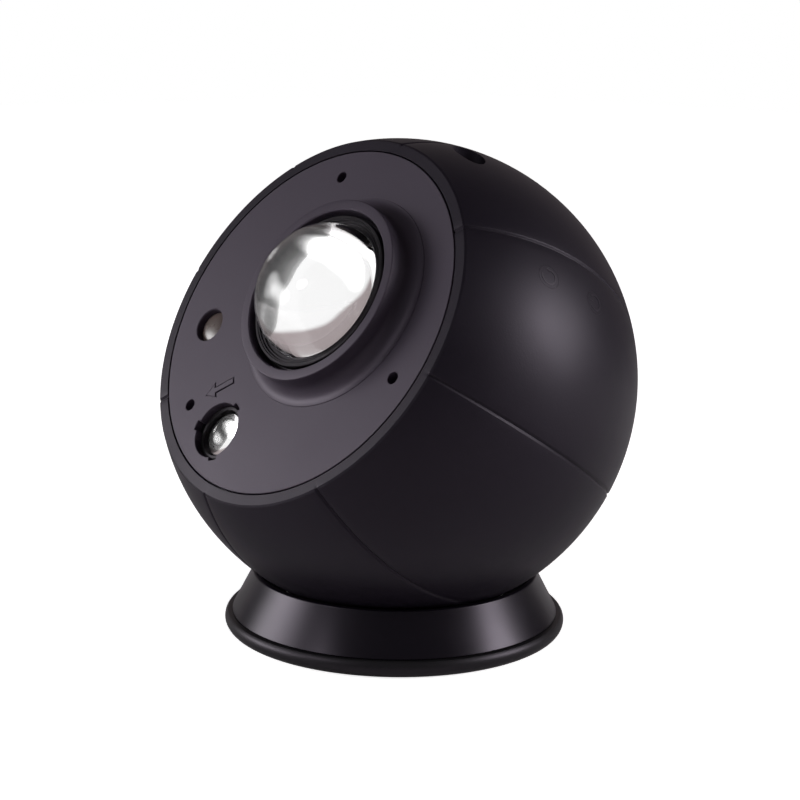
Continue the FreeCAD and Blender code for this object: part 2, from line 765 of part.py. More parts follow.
def make_face_plate():
    rear = tube_rear
    step = collar_front - collar_bore_depth
    edge_z = collar_front - collar_edge
    flare_z = face_height + collar_flare
    flare_r = collar_radius + collar_flare
    lip = collar_lip_chamfer
    collar = lathe([
        (tube_bore_radius, rear), (tube_radius, rear), (tube_radius, plate_back), (flare_r, plate_back),
        (flare_r, face_height), (on_circle(collar_flare, 225, flare_r, flare_z), (collar_radius, flare_z)),
        (collar_radius, edge_z), (on_circle(collar_edge, 45, collar_radius - collar_edge, edge_z),
                                  (collar_radius - collar_edge, collar_front)),
        (collar_bore_radius + lip, collar_front), (collar_bore_radius, collar_front - lip),
        (collar_bore_radius, step), (tube_bore_radius, step - collar_bore_gap)], 0, lens_offset)
    plate = disc(plate_radius, plate_back, face_height)
    bosses = [disc(face_screw_boss_radius, plate_back - face_screw_boss_height, plate_back, x, y)
              for x, y in face_screw_places()]
    posts = [disc(post_radius, chassis_front, plate_back, x, y) for x, y in post_places()]
    socket = disc(receiver_socket_radius(), plate_back - receiver_socket_height, plate_back, *receiver_centre)
    plate = plate.cut(disc(tube_radius, plate_back, face_height, 0, lens_offset))
    body = fuse([plate, collar, socket, arrow()] + bosses + posts)
    cuts = [disc(receiver_hole_radius, plate_back, face_height, *receiver_centre)]
    socket_bore = receiver_flange_radius() + receiver_window_fit
    cuts.append(disc(socket_bore, plate_back - receiver_socket_height, plate_back, *receiver_centre))
    cuts.append(disc(meteor_hole_radius, plate_back, face_height, *meteor_centre))
    cuts.append(meteor_notches(meteor_notch_radius, meteor_notch_width, plate_back, face_height, 0))
    boss_end = plate_back - face_screw_boss_height
    floor = boss_end + face_screw_floor
    for x, y in face_screw_places():
        cuts.append(disc(face_screw_hole_radius, floor, face_height, x, y))
        cuts.append(disc(face_screw_radius + 2 * screw_fit, boss_end, floor, x, y))
    pilot_end = chassis_front + post_screw_reach()
    for x, y in post_places():
        cuts.append(disc(lamp_screw_radius + screw_fit, chassis_front, pilot_end, x, y))
    return body.cut(cuts)


def post_screw_reach():
    return 2 * lamp_screw_length


def make_face_screws():
    screw = pan_screw(face_screw_radius, face_screw_length, face_screw_head_radius, face_screw_head_height)
    floor = plate_back - face_screw_boss_height + face_screw_floor
    return [screw.translated(V(x, y, floor)) for x, y in face_screw_places()]


# ---- focusing barrel -----------------------------------------------------------------------------
def seal_z():
    return barrel_rear + seal_from_rear


def seal_circle_radius():
    return tube_bore_radius - seal_section_radius - barrel_clearance / 2


def make_focus_barrel():
    nose_back = barrel_front - barrel_nose_length
    seat_inner = lens_bore_radius - front_lens_seat_width
    rear_front = barrel_front - rear_lens_depth
    rear_bore = rear_lens_radius + lens_fit
    rear_inner = rear_bore - rear_seat_width
    groove_floor = seal_circle_radius() - seal_section_radius - barrel_clearance / 2
    low, high = seal_z() - seal_groove_width / 2, seal_z() + seal_groove_width / 2
    return lathe([
        (lens_bore_radius, barrel_front), (barrel_nose_radius, barrel_front),
        (barrel_nose_radius, nose_back), (barrel_radius, nose_back),
        (barrel_radius, high), (groove_floor, high), (groove_floor, low), (barrel_radius, low),
        (barrel_radius, barrel_rear), (rear_bore, barrel_rear), (rear_bore, rear_front),
        (rear_inner, rear_front), (rear_inner, rear_front + rear_seat_thickness),
        (seat_inner, lens_seat_z - front_lens_seat_taper), (seat_inner, lens_seat_z),
        (lens_bore_radius, lens_seat_z)], 0, lens_offset)


def make_front_lens():
    body = disc(lens_bore_radius - lens_fit, lens_seat_z, front_lens_rim_z, 0, lens_offset)
    return fuse([body, dome(front_lens_dome_radius, front_lens_dome_height, front_lens_rim_z, 0, lens_offset)])


def make_front_retainer():
    """Ring that holds the front lens, its face falling in steps towards the dome."""
    inner = front_lens_dome_radius + lens_fit
    outer = lens_bore_radius - lens_fit / 2
    tread, rise = (outer - inner) / retainer_steps, retainer_height / retainer_steps
    outline = [(inner, front_lens_rim_z), (outer, front_lens_rim_z)]
    for i in range(retainer_steps):
        height = front_lens_rim_z + retainer_height - i * rise
        outline += [(outer - i * tread, height), (outer - (i + 1) * tread, height)]
    return lathe(outline, 0, lens_offset)


def make_rear_lens():
    top = barrel_front - rear_lens_depth
    back = top - rear_lens_edge
    rim = disc(rear_lens_radius, back, top, 0, lens_offset)
    clear = rear_lens_radius - rear_seat_width - lens_fit
    front = dome(clear, rear_lens_dome, top, 0, lens_offset)
    rear = dome(rear_lens_radius - rear_retainer_width - lens_fit, -rear_lens_dome, back, 0, lens_offset)
    return fuse([rim, front, rear])


def make_rear_retainer():
    top = barrel_front - rear_lens_depth - rear_lens_edge
    outer = rear_lens_radius + lens_fit / 2
    return tube(outer, rear_lens_radius - rear_retainer_width, top - rear_retainer_height, top, 0, lens_offset)


def make_focus_seal():
    return Part.makeTorus(seal_circle_radius(), seal_section_radius, V(0, lens_offset, seal_z()))


# ---- star disc and turntable ---------------------------------------------------------------------
def involute_angle(radius, base_radius):
    """Angle by which an involute has turned away from its start at the base circle."""
    if radius <= base_radius:
        return 0.0
    a = math.acos(base_radius / radius)
    return math.tan(a) - a


def gear_outline(teeth, flank_points):
    """Corners of a spur gear, a gap centred on angle zero."""
    pitch = gear_module * teeth / 2
    base = pitch * math.cos(math.radians(pressure_angle))
    root, tip = pitch - tooth_root_depth * gear_module, pitch + gear_module
    half_at_pitch = (math.pi * gear_module / 2 - gear_backlash) / (2 * pitch)
    offset = half_at_pitch + involute_angle(pitch, base)
    radii = [root + (tip - root) * i / (flank_points - 1) for i in range(flank_points)]
    corners = []
    for tooth in range(teeth):
        middle = 2 * math.pi * (tooth + 0.5) / teeth
        for side, order in ((-1, radii), (1, radii[::-1])):
            for radius in order:
                a = middle + side * (offset - involute_angle(radius, base))
                corners.append((radius * math.cos(a), radius * math.sin(a)))
    return corners


def make_disc_carrier():
    gear = slab(gear_outline(gear_teeth, 3), gear_back, carrier_back).translated(V(0, lens_offset, 0))
    seat = frame_outer_radius + seat_fit
    window = frame_window_radius
    sleeve_outer = sleeve_bore_radius + sleeve_wall
    carrier = lathe([
        (window, frame_seat_z), (seat, frame_seat_z), (seat, carrier_front),
        (carrier_rim_radius, carrier_front), (carrier_rim_radius, carrier_back - run_in),
        (sleeve_outer, carrier_back - run_in), (sleeve_outer, sleeve_end),
        (sleeve_bore_radius, sleeve_end), (sleeve_bore_radius, carrier_back),
        (window, carrier_back)], 0, lens_offset)
    web = disc(carrier_rim_radius, gear_back, carrier_back, 0, lens_offset)
    bore = disc(sleeve_bore_radius, sleeve_end, carrier_back, 0, lens_offset)
    return fuse([gear, web]).cut(bore).fuse(carrier).removeSplitter()


def make_film_frame():
    """Black ring of the picture disc, with a finger notch and a rebate for the film."""
    low, high = frame_seat_z, frame_seat_z + frame_thickness
    middle = (low + high) / 2
    return lathe([
        (frame_window_radius, low), (frame_outer_radius, low), (frame_outer_radius, high),
        (film_radius + seat_fit, high), (film_radius + seat_fit, middle), (frame_window_radius, middle)],
        0, lens_offset)


def make_star_film():
    low = frame_seat_z + frame_thickness / 2
    return disc(film_radius, low, low + film_thickness, 0, lens_offset)


def make_drive_pinion():
    x, y = drive_centre
    gear = slab(gear_outline(pinion_teeth, 5), gear_back - pinion_extra_thickness / 2,
                carrier_back + pinion_extra_thickness / 2)
    gear = gear.rotated(V(0, 0, 0), V(0, 0, 1), 180 + pinion_phase())
    hub = disc(pinion_hub_radius, chassis_front + carrier_thrust_gap, gear_back - pinion_extra_thickness / 2)
    shaft = disc(shaft_radius, chassis_back - shaft_in_motor, chassis_front + carrier_thrust_gap)
    return fuse([gear, hub, shaft]).translated(V(x, y, 0))


def pinion_phase():
    """The turntable shows the pinion a gap, so the pinion shows it a tooth."""
    return 180.0 / pinion_teeth


# ---- chassis, lamp and heat sink -----------------------------------------------------------------
def motor_ear_places():
    x, y = drive_centre
    return [(x, y - motor_ear_reach), (x, y + motor_ear_reach)]


def lamp_screw_places():
    circle = lamp_flange_radius - lamp_screw_inset
    return [on_circle(circle, a, 0, lens_offset) for a in lamp_screw_angles]


def make_optical_chassis():
    low, high = chassis_back, chassis_front
    plate = [disc(chassis_radius, low, high, 0, lens_offset)]
    plate += [disc(chassis_lobe_radius, low, high, x, y) for x, y in post_places()]
    x, y = drive_centre
    reach = motor_ear_reach + motor_ear_radius
    plate.append(disc(motor_radius, low, high, x, y))
    corner = V(x - motor_ear_radius, y - reach, low)
    plate.append(Part.makeBox(2 * motor_ear_radius, 2 * reach, high - low, corner))
    bearing = disc(bearing_radius, high, carrier_back - bearing_end_gap, 0, lens_offset)
    body = fuse(plate + [bearing])
    cuts = [disc(condenser_bore_radius, high, carrier_back, 0, lens_offset)]
    cuts.append(disc(condenser_bore_radius - condenser_seat_width, low, high, 0, lens_offset))
    cuts += [disc(lamp_screw_radius + 2 * screw_fit, low, high, px, py) for px, py in post_places()]
    cuts.append(disc(motor_boss_radius + motor_boss_fit, low, high, x, y))
    cuts += [disc(motor_screw_radius + screw_fit, low, high, px, py) for px, py in motor_ear_places()]
    cuts += [disc(lamp_screw_radius + screw_fit, low, high, px, py) for px, py in lamp_screw_places()]
    return body.cut(cuts)


def make_chassis_screws():
    length = chassis_thickness + post_screw_reach() - screw_tip_gap
    screw = pan_screw(lamp_screw_radius, length, lamp_screw_head_radius, lamp_screw_head_height)
    return [aimed(screw, V(x, y, chassis_back), V(0, 0, -1)) for x, y in post_places()]


def make_condenser_front():
    radius = condenser_bore_radius - lens_fit
    edge = chassis_front + condenser_front_edge
    rim = disc(radius, chassis_front, edge, 0, lens_offset)
    cap = dome(radius - dome_rim_width, condenser_front_dome, edge, 0, lens_offset)
    return fuse([rim, cap])


def make_lamp_housing():
    shelf = chassis_back - lamp_flange_thickness - condenser_rear_depth
    shelf_inner = condenser_rear_radius - shelf_width
    seat = condenser_rear_radius + lens_fit
    flange_back = chassis_back - lamp_flange_thickness
    body = lathe([
        (lamp_bore_radius, chassis_back), (lamp_flange_radius, chassis_back),
        (lamp_flange_radius, flange_back), (lamp_outer_radius, flange_back),
        (lamp_outer_radius, lamp_rear), (lamp_bore_radius, lamp_rear),
        (lamp_bore_radius, shelf - shelf_thickness), (shelf_inner, shelf - shelf_thickness),
        (shelf_inner, shelf), (seat, shelf), (seat, shelf + condenser_rear_edge),
        (lamp_bore_radius, shelf + condenser_rear_edge)], 0, lens_offset)
    pilot_end = lamp_rear + sink_screw_length - sink_base_thickness
    clear = disc(lamp_outer_radius - lamp_wall / 2, lamp_rear, chassis_back, 0, lens_offset)
    lugs = []
    cuts = []
    for x, y in sink_screw_places():
        lugs.append(disc(lug_radius(), lamp_rear, pilot_end + screw_tip_gap, x, y).cut(clear))
        cuts.append(disc(sink_screw_radius + screw_fit, lamp_rear, pilot_end, x, y))
    for x, y in lamp_screw_places():
        cuts.append(disc(lamp_screw_radius + 2 * screw_fit, flange_back, chassis_back, x, y))
    return fuse([body] + lugs).cut(cuts)


def lug_radius():
    return sink_screw_radius + lamp_wall


def sink_screw_places():
    circle = lamp_outer_radius + sink_screw_radius + sink_screw_gap
    return [on_circle(circle, a, 0, lens_offset) for a in sink_screw_angles]


def make_lamp_screws():
    screw = pan_screw(lamp_screw_radius, lamp_screw_length, lamp_screw_head_radius, lamp_screw_head_height)
    back = chassis_back - lamp_flange_thickness
    return [aimed(screw, V(x, y, back), V(0, 0, -1)) for x, y in lamp_screw_places()]


def make_condenser_rear():
    shelf = chassis_back - lamp_flange_thickness - condenser_rear_depth
    edge = shelf + condenser_rear_edge
    rim = disc(condenser_rear_radius, shelf, edge, 0, lens_offset)
    front = dome(condenser_rear_radius - dome_rim_width, condenser_rear_dome, edge, 0, lens_offset)
    return fuse([rim, front])


def make_heat_sink():
    """Round base with straight fins behind it."""
    base_radius = lamp_outer_radius + 2 * sink_screw_radius + sink_rim_width
    base = disc(base_radius, sink_back, lamp_rear, 0, lens_offset)
    pitch = (2 * sink_radius - fin_thickness) / (fin_count - 1)
    fins = []
    for i in range(fin_count):
        y = lens_offset - sink_radius + i * pitch
        corner = V(-2 * sink_radius, y, sink_back - fin_height)
        fins.append(Part.makeBox(4 * sink_radius, fin_thickness, fin_height, corner))
    keep = disc(sink_radius, sink_back - fin_height, sink_back, 0, lens_offset)
    fins = [fin.common(keep) for fin in fins]
    cuts = [disc(sink_screw_radius + 2 * screw_fit, sink_back, lamp_rear, x, y) for x, y in sink_screw_places()]
    heads = [disc(sink_screw_head_radius + sink_head_gap, sink_back - fin_height, sink_back, x, y)
             for x, y in sink_screw_places()]
    return fuse([base] + fins).cut(cuts + heads)


def make_sink_screws():
    screw = pan_screw(sink_screw_radius, sink_screw_length, sink_screw_head_radius, sink_screw_head_height)
    return [aimed(screw, V(x, y, sink_back), V(0, 0, -1)) for x, y in sink_screw_places()]


def make_led_board():
    """Metal-cored star board with notches in its edge."""
    board = disc(led_board_radius, lamp_rear, lamp_rear + board_thickness, 0, lens_offset)
    notches = []
    for i in range(led_notch_count):
        x, y = on_circle(led_board_radius, 360 * (i + 0.5) / led_notch_count, 0, lens_offset)
        notches.append(disc(led_notch_radius, lamp_rear, lamp_rear + board_thickness, x, y))
    return board.cut(notches)


def make_led_emitter():
    low = lamp_rear + board_thickness
    half = led_side / 2
    body = Part.makeBox(led_side, led_side, led_height, V(-half, lens_offset - half, low))
    return fuse([body, dome(led_dome_radius, led_dome_radius - 0.1, low + led_height, 0, lens_offset)])


# ---- disc drive ----------------------------------------------------------------------------------
def make_gear_motor():
    x, y = drive_centre
    low = chassis_back - motor_length
    can = disc(motor_radius, low, chassis_back, x, y)
    boss = disc(motor_boss_radius, chassis_back, chassis_front, x, y)
    ears = [disc(motor_ear_radius, chassis_back - motor_ear_thickness, chassis_back, px, py)
            for px, py in motor_ear_places()]
    strap = Part.makeBox(2 * motor_ear_radius, 2 * motor_ear_reach, motor_ear_thickness,
                         V(x - motor_ear_radius, y - motor_ear_reach, chassis_back - motor_ear_thickness))
    length, width, height = motor_plug
    corner = V(x + motor_radius - motor_plug_sunk, y - width / 2, low + motor_plug_sunk)
    plug = Part.makeBox(length, width, height, corner)
    shaft_end = chassis_back - shaft_in_motor - carrier_thrust_gap
    cuts = [disc(shaft_radius + shaft_clearance, shaft_end, chassis_front, x, y)]
    for px, py in motor_ear_places():
        cuts.append(disc(motor_screw_radius + 2 * screw_fit, low, chassis_back, px, py))
    return fuse([can, boss, strap, plug] + ears).cut(cuts)


def make_motor_screws():
    screw = pan_screw(motor_screw_radius, motor_ear_thickness + chassis_thickness, motor_screw_head_radius,
                      motor_screw_head_height)
    back = chassis_back - motor_ear_thickness
    return [aimed(screw, V(x, y, back), V(0, 0, -1)) for x, y in motor_ear_places()]


# ---- shooting-star projector ---------------------------------------------------------------------
def make_meteor_cell():
    x, y = meteor_centre
    front = face_height - meteor_cell_below_face
    rear = front - meteor_cell_length
    seat = face_height - meteor_lens_depth - meteor_lens_edge
    inner = meteor_cell_bore - meteor_lens_seat
    body = lathe([
        (meteor_cell_bore, front), (meteor_cell_radius, front), (meteor_cell_radius, rear), (inner, rear),
        (inner, seat), (meteor_cell_bore, seat)], x, y)
    top = plate_back - meteor_tab_under_plate
    tabs = meteor_notches(meteor_tab_radius, meteor_notch_width - 2 * meteor_tab_under_plate,
                          top - meteor_tab_thickness, top, -meteor_turn)
    return fuse([body, tabs.cut(disc(meteor_cell_radius - run_in, rear, front, x, y))])


def make_meteor_lens():
    x, y = meteor_centre
    high = face_height - meteor_lens_depth
    rim = disc(meteor_cell_bore - lens_fit, high - meteor_lens_edge, high, x, y)
    return fuse([rim, dome(meteor_cell_bore - 2 * lens_fit, meteor_lens_dome, high, x, y)])


def make_meteor_tube():
    x, y = meteor_centre
    shelf = plate_back - meteor_shelf_depth
    inner = meteor_rear_bore_radius - meteor_shelf_width
    return lathe([
        (meteor_tube_bore, plate_back), (meteor_tube_radius, plate_back),
        (meteor_tube_radius, meteor_tube_rear), (meteor_rear_bore_radius, meteor_tube_rear),
        (meteor_rear_bore_radius, shelf - meteor_shelf_thickness),
        (inner, shelf - meteor_shelf_thickness), (inner, shelf), (meteor_tube_bore, shelf)], x, y)


def make_meteor_film():
    x, y = meteor_centre
    top = plate_back - meteor_shelf_depth - meteor_shelf_thickness
    return disc(meteor_rear_bore_radius - lens_fit, top - meteor_film_thickness, top, x, y)


def make_meteor_lamp_board():
    x, y = meteor_centre
    return disc(meteor_tube_radius, meteor_tube_rear - board_thickness, meteor_tube_rear, x, y)


def make_meteor_lamp():
    x, y = meteor_centre
    width, thickness = meteor_led_flange
    flange = disc(meteor_led_radius + width, meteor_tube_rear, meteor_tube_rear + thickness, x, y)
    return fuse([flange, disc(meteor_led_radius, meteor_tube_rear, meteor_tube_rear + meteor_led_height, x, y),
                 dome(meteor_led_radius, meteor_led_radius - 0.1, meteor_tube_rear + meteor_led_height, x, y)])


# ---- remote receiver -----------------------------------------------------------------------------
def receiver_flange_radius():
    return receiver_hole_radius + receiver_window_flange


def receiver_socket_radius():
    return receiver_flange_radius() + receiver_window_fit + receiver_socket_wall


def make_receiver_window():
    x, y = receiver_centre
    flange = disc(receiver_flange_radius(), plate_back - receiver_window_flange, plate_back, x, y)
    cap = dome(receiver_hole_radius - receiver_window_fit, receiver_dome_height, plate_back, x, y)
    return fuse([flange, cap])


def make_receiver_board():
    x, y = receiver_centre
    top = plate_back - receiver_socket_height
    board = disc(receiver_socket_radius(), top - board_thickness, top, x, y)
    w, d, h = receiver_chip
    return fuse([board, Part.makeBox(w, d, h, V(x - w / 2, y - d / 2, top))])


# ---- push buttons --------------------------------------------------------------------------------
def button_axis():
    a, b = math.radians(button_polar), math.radians(button_azimuth)
    return V(math.sin(a) * math.sin(b), math.sin(a) * math.cos(b), math.cos(a))


def button_point(along, across, out):
    """A point of the button panel: along it away from the face, across it, and out from the centre."""
    a, b = math.radians(button_polar), math.radians(button_azimuth)
    away = V(math.cos(a) * math.sin(b), math.cos(a) * math.cos(b), -math.sin(a))
    side = button_axis().cross(away)
    return away * along + side * across + button_axis() * out


def button_flange_top():
    reach = button_spacing / 2 + button_radius + button_flange
    return math.sqrt(shell_inner_radius ** 2 - reach ** 2) - button_flange_drop


def button_stem_end():
    return button_flange_top() - button_flange_thickness - button_stem_length


def switch_top():
    return button_stem_end() - plunger_length + switch_top_overlap


def button_board_top():
    return switch_top() - switch_height


def make_button_cap(along):
    m = button_axis()
    top = button_flange_top()
    under = button_point(along, 0, top - button_flange_thickness)
    stem_end = button_point(along, 0, button_stem_end())
    cap = Part.makeCylinder(button_radius, ball_radius, under, m).common(Part.makeSphere(ball_radius))
    flange = Part.makeCylinder(button_radius + button_flange, button_flange_thickness, under, m)
    stem = Part.makeCylinder(button_stem_radius, button_stem_length + run_in, stem_end, m)
    return fuse([cap, flange, stem])


def make_plunger(along):
    low = button_stem_end() - plunger_length
    return Part.makeCylinder(plunger_radius, plunger_length, button_point(along, 0, low), button_axis())


def panel_box(along, across, out, length, width, height):
    """A box on the button panel, centred on a point and standing outwards from it."""
    box = Part.makeBox(length, width, height, V(-length / 2, -width / 2, 0))
    x, z = button_point(1, 0, 0), button_axis()
    y = z.cross(x)
    o = button_point(along, across, out)
    matrix = FreeCAD.Matrix(x.x, y.x, z.x, o.x, x.y, y.y, z.y, o.y, x.z, y.z, z.z, o.z, 0, 0, 0, 1)
    return box.transformed(matrix)


def make_button_board():
    length = button_board_front + button_board_rear
    middle = (button_board_rear - button_board_front) / 2
    back = button_board_top() - board_thickness
    board = panel_box(middle, 0, back, length, button_board_width, board_thickness)
    holes = []
    hole_radius = small_screw_radius + 2 * screw_fit
    for along in button_post_places:
        foot = button_point(along, 0, back)
        holes.append(Part.makeCylinder(hole_radius, board_thickness, foot, button_axis()))
    return board.cut(holes)


def make_tact_switches():
    switches = []
    for along in (-button_spacing / 2, button_spacing / 2):
        body = panel_box(along, 0, button_board_top(), switch_side, switch_side, switch_height)
        depth = switch_top_overlap + button_travel + switch_floor_gap
        well = Part.makeCylinder(plunger_radius + plunger_fit, 2 * depth,
                                 button_point(along, 0, switch_top() - depth), button_axis())
        switches.append(body.cut(well))
    return switches


def make_button_board_screws():
    screw = pan_screw(small_screw_radius, small_screw_length, small_screw_head_radius, small_screw_head_height)
    back = button_board_top() - board_thickness
    return [aimed(screw, button_point(a, 0, back), button_axis() * -1) for a in button_post_places]


# ---- main board and power inlet ------------------------------------------------------------------
def main_board_corners():
    inset = main_post_inset
    return [(y, z) for y in (main_board_y + inset, main_board_y + main_board_width - inset)
            for z in (main_board_z + inset, main_board_z + main_board_length - inset)]


def make_main_board():
    corner = V(-main_board_x, main_board_y, main_board_z)
    board = Part.makeBox(board_thickness, main_board_width, main_board_length, corner)
    holes = [rod_x(small_screw_radius + 2 * screw_fit, -main_board_x, -main_board_x + board_thickness, y, z)
             for y, z in main_board_corners()]
    return board.cut(holes)


def on_main_board(size, corner):
    """A block on the inner side of the main board, its corner measured from the board's."""
    place = V(-main_board_x + board_thickness, main_board_y + corner[0], main_board_z + corner[1])
    return Part.makeBox(size[0], size[1], size[2], place)


def make_board_components():
    """Controller, motor driver, inductor, relay, capacitors and plug headers."""
    parts = [on_main_board(controller_size, controller_corner), on_main_board(driver_size, driver_corner),
             on_main_board(inductor_size, inductor_corner), on_main_board(relay_size, relay_corner)]
    face = -main_board_x + board_thickness
    for y, z in capacitor_places:
        parts.append(rod_x(capacitor_radius, face, face + capacitor_height, main_board_y + y, main_board_z + z))
    return parts + [on_main_board(plug_size, corner) for corner in plug_corners]


def make_board_screws():
    length = small_screw_length
    screw = pan_screw(small_screw_radius, length, small_screw_head_radius, small_screw_head_height)
    return [aimed(screw, V(-main_board_x + board_thickness, y, z), V(1, 0, 0)) for y, z in main_board_corners()]


def make_power_inlet():
    """Barrel socket: square body behind the pad, round nose through it, hollow mouth with a centre pin."""
    d = inlet_direction()
    back = inlet_pad_back()
    floor = back + inlet_pad_thickness
    half = inlet_body_side / 2
    corner = V(-half, -half, back - inlet_body_length)
    body = Part.makeBox(inlet_body_side, inlet_body_side, inlet_body_length, corner)
    front = floor + inlet_nose_stand
    nose = disc(inlet_nose_radius, back, front)
    mouth = disc(inlet_mouth_radius, front - inlet_mouth_depth, front)
    pin = disc(inlet_pin_radius, front - inlet_mouth_depth - run_in, front - inlet_nose_stand - inlet_pin_drop)
    return aimed(fuse([body, nose]).cut(mouth).fuse(pin), V(0, 0, 0), d)


# ---- all pieces ----------------------------------------------------------------------------------
def base_pieces():
    return {"base_ring": make_base_ring(), "foot_ring": make_foot_ring(), "seat_liner": make_seat_liner()}


def ball_pieces():
    power, rotation = button_spacing / 2, -button_spacing / 2
    return {
        "left_shell": make_left_shell(), "right_shell": make_right_shell(),
        "shell_screws": make_shell_screws(),
        "face_plate": make_face_plate(), "face_plate_screws": make_face_screws(),
        "focus_barrel": make_focus_barrel(), "focus_seal_ring": make_focus_seal(),
        "front_lens": make_front_lens(), "front_lens_retainer": make_front_retainer(),
        "rear_lens": make_rear_lens(), "rear_lens_retainer": make_rear_retainer(),
        "disc_carrier": make_disc_carrier(), "film_frame": make_film_frame(),
        "star_film": make_star_film(), "drive_pinion": make_drive_pinion(),
        "gear_motor": make_gear_motor(), "motor_screws": make_motor_screws(),
        "optical_chassis": make_optical_chassis(), "chassis_screws": make_chassis_screws(),
        "condenser_front": make_condenser_front(), "condenser_rear": make_condenser_rear(),
        "lamp_housing": make_lamp_housing(), "lamp_housing_screws": make_lamp_screws(),
        "heat_sink": make_heat_sink(), "heat_sink_screws": make_sink_screws(),
        "led_board": make_led_board(), "led_emitter": make_led_emitter(),
        "meteor_cell": make_meteor_cell(), "meteor_lens": make_meteor_lens(),
        "meteor_tube": make_meteor_tube(), "meteor_film": make_meteor_film(),
        "meteor_lamp_board": make_meteor_lamp_board(), "meteor_lamp": make_meteor_lamp(),
        "receiver_window": make_receiver_window(), "receiver_board": make_receiver_board(),
        "power_button": make_button_cap(power), "power_plunger": make_plunger(power),
        "rotation_button": make_button_cap(rotation), "rotation_plunger": make_plunger(rotation),
        "tact_switches": make_tact_switches(), "button_board": make_button_board(),
        "button_board_screws": make_button_board_screws(),
        "main_board": make_main_board(), "board_components": make_board_components(),
        "main_board_screws": make_board_screws(), "power_inlet": make_power_inlet(),
    }


def main():
    os.makedirs("parts", exist_ok=True)
    pieces = base_pieces()
    for name, made in ball_pieces().items():
        shape = Part.makeCompound(made) if isinstance(made, list) else made
        shape = shape.copy()
        shape.Placement = place_of_ball().multiply(shape.Placement)
        pieces[name] = shape
    for name, shape in pieces.items():
        shape.exportStep("parts/" + name + ".step")


main()
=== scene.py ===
import json
import math

import bmesh
import bpy
from mathutils import Matrix, Vector


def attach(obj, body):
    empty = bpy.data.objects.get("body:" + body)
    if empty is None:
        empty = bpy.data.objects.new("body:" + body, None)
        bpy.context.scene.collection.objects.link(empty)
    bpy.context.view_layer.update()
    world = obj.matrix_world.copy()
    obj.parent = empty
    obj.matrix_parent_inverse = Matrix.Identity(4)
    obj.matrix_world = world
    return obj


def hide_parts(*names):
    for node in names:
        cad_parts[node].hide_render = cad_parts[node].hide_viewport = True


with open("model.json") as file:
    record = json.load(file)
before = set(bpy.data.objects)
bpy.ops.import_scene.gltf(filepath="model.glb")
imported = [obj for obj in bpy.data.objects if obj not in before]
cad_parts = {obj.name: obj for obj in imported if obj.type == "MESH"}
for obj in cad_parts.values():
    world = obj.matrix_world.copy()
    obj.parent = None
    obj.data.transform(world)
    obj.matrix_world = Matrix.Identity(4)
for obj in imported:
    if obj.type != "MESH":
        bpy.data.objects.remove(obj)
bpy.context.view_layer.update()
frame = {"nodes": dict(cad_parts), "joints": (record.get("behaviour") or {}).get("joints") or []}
nodes = frame["nodes"]
joints = {joint["name"]: joint for joint in frame["joints"]}

# ---- where the ball lies
# Shapes are made in millimetres. Pieces of the ball use its own frame: z along the lens axis
# towards the viewer, y towards the lens side of the parting line, x to the right seen from the front.
MM = 0.001
ball_centre = Vector(joints["ball_tilt"]["pos_m"])
lens_axis = Vector(joints["focus_travel"]["axis"])
lens_to_pinion = Vector(joints["pinion_spin"]["pos_m"]) - Vector(joints["disc_turn"]["pos_m"])
ball_x = (lens_to_pinion - lens_axis * lens_to_pinion.dot(lens_axis)).normalized()
ball_y = lens_axis.cross(ball_x)
ball_turn = Matrix((ball_x, ball_y, lens_axis)).transposed()
in_ball = Matrix.Translation(ball_centre) @ ball_turn.to_4x4() @ Matrix.Scale(MM, 4)
on_table = Matrix.Scale(MM, 4)


def axis_place(joint):
    """Where a joint's axis meets the face of the ball, in the ball's frame."""
    place = in_ball.inverted() @ Vector(joints[joint]["pos_m"])
    return (place.x, place.y)


# ---- sizes
ball_radius = 75.0
shell_wall = 2.6
face_height = 44.8
face_rim_width = 3.5
face_rim_edge = 0.35
plate_gap = 0.45
plate_thickness = 2.5
plate_edge = 0.15
ledge_width = 3.2
face_ledge_thickness = 3.0
groove_half_width = 0.85
groove_depth = 0.5
groove_angle = 45.0
groove_pole_gap = 4.0

lens_offset = axis_place("focus_turn")[1]
collar_height = 8.5
collar_radius = 29.3
collar_edge = 0.4
collar_flare = 4.7
collar_foot_step = 0.2
collar_lip_chamfer = 0.35
collar_bore_radius = 26.0
collar_bore_depth = 6.0
tube_bore_radius = 25.58
tube_wall = 2.6
tube_rear = 16.4

plate_screw_inset = 8.25
plate_screw_angles = (38.9, 157.0, 279.7)
plate_screw_hole_radius = 1.8
plate_screw_floor = 38.0

face_radius = math.sqrt(ball_radius ** 2 - face_height ** 2)
plate_well_radius = face_radius - face_rim_width
plate_radius = plate_well_radius - plate_gap
plate_back = face_height - plate_thickness
ledge_inner_radius = plate_well_radius - ledge_width
face_ledge_back = plate_back - face_ledge_thickness
shell_inner_radius = ball_radius - shell_wall
plate_screw_circle = plate_radius - plate_screw_inset


# ---- mesh helpers
def on_circle(radius, degrees, x=0.0, y=0.0):
    turn = math.radians(degrees)
    return (x + radius * math.cos(turn), y + radius * math.sin(turn))


def arc(x, y, radius, start, end, steps):
    return [on_circle(radius, start + (end - start) * i / steps, x, y) for i in range(steps + 1)]


def dome(radius, height, foot, steps):
    """Outline of an oval dome, from its edge up to its top."""
    shares = arc(0.0, 0.0, 1.0, 0, 90, steps)[:-1]
    return [(radius * out, foot + height * up) for out, up in shares] + [(0.0, foot + height)]


def bridge(mesh, rings, closed=False, around=True):
    """Joins each ring to the next, where closed the last to the first too; around=False leaves rows open."""
    count = len(rings[0])
    for low, high in zip(rings, rings[1:] + rings[:1] * closed):
        for i in range(count if around else count - 1):
            j = (i + 1) % count
            mesh.faces.new((low[i], low[j], high[j], high[i]))


